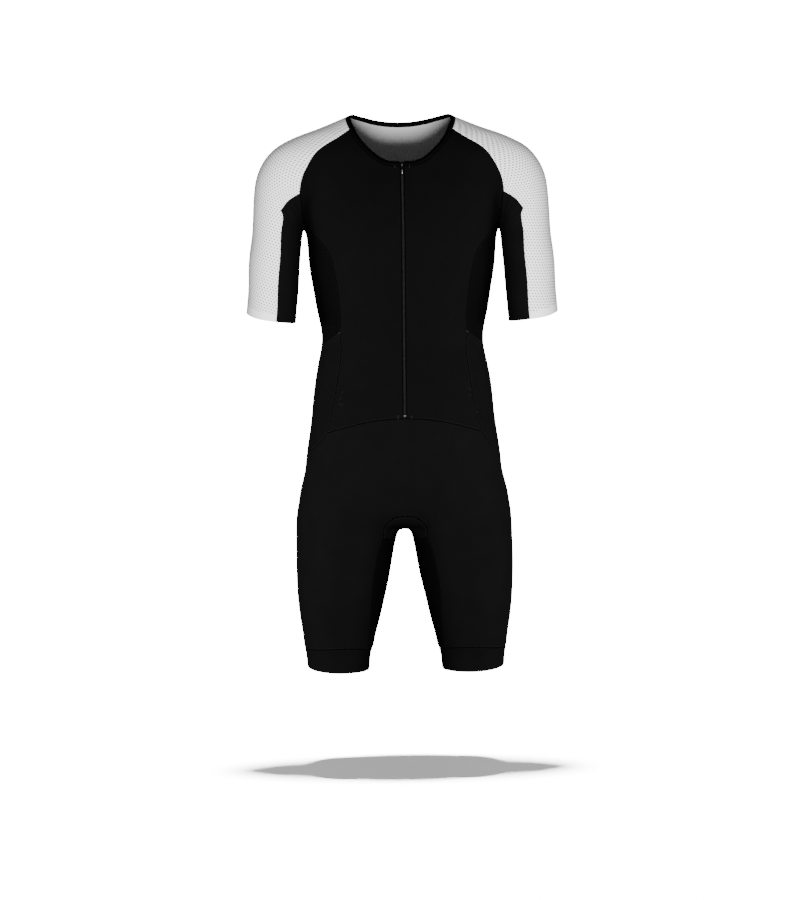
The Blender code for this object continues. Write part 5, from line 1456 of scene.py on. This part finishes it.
class SuitSizes(bpy.types.PropertyGroup):
    """Sizes of the cloth and its sewing."""

    wall: length_property("Cloth thickness", "Wall of every panel", 0.0011)
    seam_roll: length_property("Seam roll", "How far an edge sinks into its seam", 0.00050)
    unevenness: length_property("Unevenness", "Height of the long soft waves in the cloth", 0.00045)
    crease_depth: bpy.props.FloatProperty(
        name="Crease depth", description="Times the depth of every crease", default=1.0
    )
    white_mesh_pitch: length_property("White mesh pitch", "From hole to hole in the white mesh", 0.0054)
    black_mesh_pitch: length_property("Black mesh pitch", "From hole to hole in the black mesh", 0.0042)
    hole_size: length_property("Hole size", "Across one hole of the white mesh", 0.0027)
    hem_depth: length_property("Hem depth", "From the cuff's edge to its stitching", 0.0130)
    stitch_pitch: length_property("Stitch pitch", "From stitch to stitch", 0.0032)
    stitch_length: length_property("Stitch length", "Length of one stitch", 0.0029)
    thread: length_property("Thread", "Thickness of the thread", 0.00055)


class SuitColours(bpy.types.PropertyGroup):
    """Colours of the suit's materials."""

    lycra: colour_property("Body lycra", "Front, back and pockets", "#080808")
    shorts_lycra: colour_property("Shorts lycra", "Shorts", "#090909")
    underarm_lycra: colour_property("Underarm lycra", "Inside of the sleeves", "#0a0a0a")
    gusset_lycra: colour_property("Gusset lycra", "Between the legs", "#090909")
    black_mesh: colour_property("Black mesh", "Sides and inner thighs", "#060606")
    white_mesh: colour_property("White mesh", "Sleeves and yoke", "#eaeaeb")
    white_hole: colour_property("White mesh holes", "What shows through a hole", "#6c6c6f")
    gripper: colour_property("Leg bands", "Elastic at the knees", "#090909")
    binding: colour_property("Neck binding", "Folded tape at the neck", "#030303")
    zip_tape: colour_property("Zip tape", "Tapes under the teeth", "#040404")
    # paler than the black cloth: painted sheen on the teeth, on top of their real gloss
    coil: colour_property("Zip teeth", "Moulded teeth", "#161616")
    black_thread: colour_property("Black thread", "Thread of most seams", "#0d0d0d")
    # black thread painted paler: painted sheen where the topstitching catches the light
    pale_thread: colour_property("Charcoal thread", "Topstitching that catches the light", "#1b1b1b")
    # black thread painted paler: a painted highlight on the bar tacks
    tack_thread: colour_property("Bar tacks", "Packed thread at the ends of openings", "#343434")
    white_thread: colour_property("White thread", "Thread in the white mesh", "#dcdcde")
    slider_metal: colour_property("Slider", "Lacquer of the slider and pull", "#0c0c0c")
    bare_metal: colour_property("Pull rib", "Polished rib of the pull", "#b4b4b8")
    # pale metal of the slider's rib: a painted highlight
    slider_highlight_metal: colour_property("Slider rib", "Pale rib painting the slider's highlight", "#77777a")
    stop_metal: colour_property("Zip stop", "Plating of the stop", "#141416")


# ---------------------------------------------------------------- operators


class Sewing:
    """What the operators share."""

    bl_options = {"REGISTER", "UNDO"}


class SUIT_OT_fronts(Sewing, bpy.types.Operator):
    """Sews the two front panels"""

    bl_idname = "suit.fronts"
    bl_label = "Front panels"

    def execute(self, context):
        sew("front", "lycra", "black_lycra")
        return {"FINISHED"}


class SUIT_OT_sides(Sewing, bpy.types.Operator):
    """Sews the black mesh at both sides"""

    bl_idname = "suit.sides"
    bl_label = "Side mesh"

    def execute(self, context):
        sew("side", "black_mesh", "black_mesh")
        return {"FINISHED"}


class SUIT_OT_pockets(Sewing, bpy.types.Operator):
    """Sews the two side pockets"""

    bl_idname = "suit.pockets"
    bl_label = "Side pockets"

    def execute(self, context):
        sew("pocket", "lycra", "black_lycra")
        return {"FINISHED"}


class SUIT_OT_back(Sewing, bpy.types.Operator):
    """Sews the black back and its white yoke"""

    bl_idname = "suit.back"
    bl_label = "Back and yoke"

    def execute(self, context):
        sew("back_lower", "lycra", "black_lycra")
        sew("back_yoke", "white_mesh", "white_mesh")
        return {"FINISHED"}


class SUIT_OT_sleeves(Sewing, bpy.types.Operator):
    """Sews both white sleeves and the black panels under the arms"""

    bl_idname = "suit.sleeves"
    bl_label = "Sleeves and underarms"

    def execute(self, context):
        sew("sleeve", "white_mesh", "white_mesh")
        sew("underarm", "underarm_lycra", "black_lycra")
        return {"FINISHED"}


class SUIT_OT_shorts(Sewing, bpy.types.Operator):
    """Sews the front and back of the shorts, the gusset and the mesh inside the thighs"""

    bl_idname = "suit.shorts"
    bl_label = "Shorts"

    def execute(self, context):
        sew("shorts_front", "shorts_lycra", "black_lycra")
        sew("shorts_back", "shorts_lycra", "black_lycra")
        sew("gusset", "gusset_lycra", "black_lycra")
        sew("inner_thigh", "black_mesh", "black_mesh")
        return {"FINISHED"}


class SUIT_OT_leg_bands(Sewing, bpy.types.Operator):
    """Sews the elastic bands round both legs"""

    bl_idname = "suit.leg_bands"
    bl_label = "Leg bands"

    def execute(self, context):
        sew("leg_band", "gripper", "gripper_elastic")
        return {"FINISHED"}


class SUIT_OT_binding(Sewing, bpy.types.Operator):
    """Folds the binding round the neck"""

    bl_idname = "suit.binding"
    bl_label = "Neck binding"

    def execute(self, context):
        mesh, length = binding_mesh("collar_binding")
        obj = place(mesh, "collar_binding", "binding", slot="neck_binding", nodes=("collar",))
        return {"FINISHED"}


class SUIT_OT_zip(Sewing, bpy.types.Operator):
    """Makes the zip's tapes, teeth and the polished rib of its pull, and finishes its metal"""

    bl_idname = "suit.zip"
    bl_label = "Zip"

    def execute(self, context):
        place(tapes_mesh("zip_tapes"), "zip_tapes", "zip_tape", slot="zip_coil", nodes=("zip_chain",))
        place(teeth_mesh("zip_teeth"), "zip_teeth", "coil", slot="zip_coil")
        slider_frame = front_frame(HARDWARE_LEVEL)
        hinge = Matrix.Translation((0.0, HINGE_UP, HINGE_OUT)) @ Matrix.Rotation(PULL_TILT, 4, "X")
        rib = polished_rib("pull_rib", PULL_RIB, slider_frame @ hinge, PULL_WALL / 2)
        place(rib, "pull_rib", "bare_metal", body="pull", slot="zip_metal")
        # a pale metal rib on the slider's face: a painted highlight on the lacquered slider
        rib = polished_rib("slider_rib", SLIDER_RIB, slider_frame, SLIDER_FACE)
        place(rib, "slider_rib", "slider_highlight_metal", slot="zip_metal")
        for name, finish_name in (
            ("zip_slider", "slider_metal"),
            ("zip_pull", "slider_metal"),
            ("zip_stop", "stop_metal"),
        ):
            node = frame["nodes"][name]
            node.data.materials.clear()
            node.data.materials.append(finish(finish_name))
        return {"FINISHED"}


BINDING_ROW = 0.0020  # its topstitching runs this far above its lower edge


class SUIT_OT_stitching(Sewing, bpy.types.Operator):
    """Sews the rows of stitches beside every seam, the hems and the bar tacks"""

    bl_idname = "suit.stitching"
    bl_label = "Stitching"

    def execute(self, context):
        hem_depth = context.scene.suit_sizes.hem_depth
        threads = {name: Threads() for name in ("black", "pale", "white", "tack")}
        rows = seam_rows()
        rows.append((panels()["sleeve"].line_at(hem_depth), "white"))
        rows.append((panels()["underarm"].line_at(hem_depth), "black"))
        top, down, out, width = binding_sections()
        face = top + down * (width - BINDING_ROW)[:, None] + out * BINDING_HALF_WALL * 0.25
        reverse = top + down * (width * 0.45)[:, None] - out * BINDING_HALF_WALL * 1.8
        for mirrored in (False, True):
            for line, name in (*rows, (face, "pale")):
                threads[name].row(line, mirrored)
            threads["pale"].row(reverse, mirrored, -0.25)
        for tack in TACKS:
            for flip in (1.0, -1.0):
                threads["tack"].tack(tack, flip)
        # painted highlights on small ridges, as spindles of pale thread
        for places in RIDGE_HIGHLIGHT_LINES:
            threads["pale"].ridge_highlight_line(places)
        for name, gathered in threads.items():
            gathered.place(f"{name}_stitches", f"{name}_thread")
        return {"FINISHED"}


WHITE = (1.0, 1.0, 1.0, 1.0)
FLOOR_LEVEL, FLOOR_REACH = -1.094, 40.0
FLOOR_GLOW = 0.16
FLAG_HALF_WIDTH, FLAG_HALF_DEPTH, FLAG_LEVEL = 0.310, 0.108, 0.40
FLAG_SIDES = 48
ROOM_LIGHT, BACKDROP_LIGHT = 0.45, 18.0
OVERHEAD_POWER, OVERHEAD_ANGLE = 62.0, math.radians(3.8)
BOXES_AIM = Vector((0.0, 0.0, -0.40))
BOXES = records(
    "name place across power from_the_side",
    ("front_box", (0.0, -1.7, -0.53), 0.45, 83.0, False),
    ("back_box", (0.0, 2.6, 0.1), 1.2, 205.0, False),
    ("left_box", (2.6, 0.1, -0.30), 1.0, 165.0, True),
    ("right_box", (-2.6, 0.1, -0.30), 1.0, 165.0, True),
)
CAMERA_PLACE = (-0.1405, -5.4984, 0.0)
CAMERA_AIM = (-0.0061, 0.0, -0.5443)
CAMERA_LENS = 130.0  # in millimetres, as the camera counts
CAMERA_REACH = (0.1, 200.0)
CAMERA_ROLL = math.radians(0.57)  # the suit hangs a touch out of plumb


class SUIT_OT_studio(Sewing, bpy.types.Operator):
    """Sets up the pale floor, the soft lights and the camera"""

    bl_idname = "suit.studio"
    bl_label = "Studio"

    def execute(self, context):
        scene = context.scene
        signs = ((-1, -1), (1, -1), (1, 1), (-1, 1))
        corners = [(x * FLOOR_REACH, y * FLOOR_REACH, FLOOR_LEVEL) for x, y in signs]
        floor = self.flat_piece(scene, "floor", corners, self.acrylic(), ("diffuse", "glossy"))
        self.light_the_room(scene)
        # An oval flag under the overhead light, so the neck opening lets no bright spot through to the floor.
        turns = np.linspace(0.0, 2 * math.pi, FLAG_SIDES, endpoint=False)
        rim = [(FLAG_HALF_WIDTH * math.cos(t), FLAG_HALF_DEPTH * math.sin(t), FLAG_LEVEL) for t in turns]
        cotton = new_finish("Black cotton flag cloth", Roughness=1.0)[0]
        self.flat_piece(scene, "flag", rim, cotton, ("camera", "diffuse", "glossy", "transmission"))
        self.add_lights(scene, floor)
        self.add_camera(scene)
        return {"FINISHED"}

    def acrylic(self):
        """A matt sheet with a faint light under it, which keeps the floor pale around its shadow."""
        made, tree, shader = new_finish(
            "Opal white acrylic, matt, with a faint light under it",
            Roughness=0.9,
            Specular_IOR_Level=0.0,
            Emission_Color=WHITE,
            Emission_Strength=FLOOR_GLOW,
        )
        coloured(tree, shader, mixed(tree, cloudy(tree, 0.4), (0.885, 0.885, 0.89), (0.90, 0.90, 0.90)))
        return made

    def flat_piece(self, scene, name, rim, made, unseen_by):
        """A flat piece of the studio that some kinds of ray pass by."""
        mesh = bpy.data.meshes.new(name)
        mesh.from_pydata(rim, [], [tuple(range(len(rim)))])
        mesh.materials.append(made)
        obj = bpy.data.objects.new(name, mesh)
        scene.collection.objects.link(obj)
        for kind in unseen_by:
            setattr(obj, f"visible_{kind}", False)
        return obj

    def light_the_room(self, scene):
        """A bright backdrop that gives the suit only a dim even light."""
        scene.world = bpy.data.worlds.new("studio")
        scene.world.use_nodes = True
        tree = scene.world.node_tree
        tree.nodes.clear()
        seen = add(tree, "ShaderNodeLightPath").outputs["Is Camera Ray"]
        dim = add(tree, "ShaderNodeBackground", {"Color": WHITE, "Strength": ROOM_LIGHT})
        bright = add(tree, "ShaderNodeBackground", {"Color": WHITE, "Strength": BACKDROP_LIGHT})
        mix = add(tree, "ShaderNodeMixShader", {0: seen, 1: dim.outputs[0], 2: bright.outputs[0]})
        add(tree, "ShaderNodeOutputWorld", {"Surface": mix.outputs[0]})

    def add_light(self, scene, name, kind, place_of, receivers, **settings):
        """A light that reaches only its receivers."""
        light = bpy.data.lights.new(name, kind)
        for setting, value in settings.items():
            setattr(light, setting, value)
        lamp = bpy.data.objects.new(name, light)
        lamp.location = place_of
        lamp.light_linking.receiver_collection = receivers
        scene.collection.objects.link(lamp)
        return lamp

    def all_but(self, name, left_out):
        """A collection for a light that reaches everything except these objects."""
        made = bpy.data.collections.new(name)
        for obj in left_out:
            made.objects.link(obj)
        for linked in made.collection_objects:
            linked.light_linking.link_state = "EXCLUDE"
        return made

    def add_lights(self, scene, floor):
        on_floor = bpy.data.collections.new("lit_by_the_overhead_light")
        on_floor.objects.link(floor)
        off_floor = self.all_but("lit_by_the_soft_boxes", [floor])
        white = [obj for obj in scene.objects if obj.name.startswith("sleeve") and obj.name.endswith("cloth")]
        off_white = self.all_but("lit_by_the_side_boxes", [floor, *white])
        above = (0.0, 0.0, 2.0)
        self.add_light(scene, "overhead", "SUN", above, on_floor, energy=OVERHEAD_POWER, angle=OVERHEAD_ANGLE)
        for box in BOXES:
            reached = off_white if box.from_the_side else off_floor
            settings = {"shape": "DISK", "size": box.across, "energy": box.power}
            lamp = self.add_light(scene, box.name, "AREA", box.place, reached, **settings)
            lamp.rotation_euler = (BOXES_AIM - Vector(box.place)).to_track_quat("-Z", "Y").to_euler()
            lamp.visible_camera = False

    def add_camera(self, scene):
        camera = bpy.data.cameras.new("camera")
        camera.lens = CAMERA_LENS
        camera.clip_start, camera.clip_end = CAMERA_REACH
        obj = bpy.data.objects.new("camera", camera)
        obj.location = CAMERA_PLACE
        look = (Vector(CAMERA_AIM) - Vector(CAMERA_PLACE)).to_track_quat("-Z", "Y")
        obj.rotation_mode = "QUATERNION"
        obj.rotation_quaternion = look @ Quaternion((0.0, 0.0, 1.0), -CAMERA_ROLL)
        scene.collection.objects.link(obj)
        scene.camera = obj


OPERATORS = (
    SUIT_OT_fronts,
    SUIT_OT_sides,
    SUIT_OT_pockets,
    SUIT_OT_back,
    SUIT_OT_sleeves,
    SUIT_OT_shorts,
    SUIT_OT_leg_bands,
    SUIT_OT_binding,
    SUIT_OT_zip,
    SUIT_OT_stitching,
    SUIT_OT_studio,
)


class SUIT_PT_panel(bpy.types.Panel):
    """The suit's tab in the sidebar"""

    bl_idname = "SUIT_PT_panel"
    bl_label = "Triathlon suit"
    bl_space_type = "VIEW_3D"
    bl_region_type = "UI"
    bl_category = "Suit"

    def draw(self, context):
        layout = self.layout
        for group in (context.scene.suit_sizes, context.scene.suit_colours):
            column = layout.column(align=True)
            for name in group.__annotations__:
                column.prop(group, name)
        for operator in OPERATORS:
            layout.operator(operator.bl_idname)


CLASSES = (SuitSizes, SuitColours, *OPERATORS, SUIT_PT_panel)


def register():
    for made in CLASSES:
        bpy.utils.register_class(made)
    bpy.types.Scene.suit_sizes = bpy.props.PointerProperty(type=SuitSizes)
    bpy.types.Scene.suit_colours = bpy.props.PointerProperty(type=SuitColours)


def unregister():
    del bpy.types.Scene.suit_colours
    del bpy.types.Scene.suit_sizes
    for made in reversed(CLASSES):
        bpy.utils.unregister_class(made)


def main():
    register()
    bpy.ops.suit.fronts()
    bpy.ops.suit.sides()
    bpy.ops.suit.pockets()
    bpy.ops.suit.back()
    bpy.ops.suit.sleeves()
    bpy.ops.suit.shorts()
    bpy.ops.suit.leg_bands()
    bpy.ops.suit.binding()
    bpy.ops.suit.zip()
    bpy.ops.suit.stitching()
    bpy.ops.suit.studio()


if __name__ == "__main__":
    main()
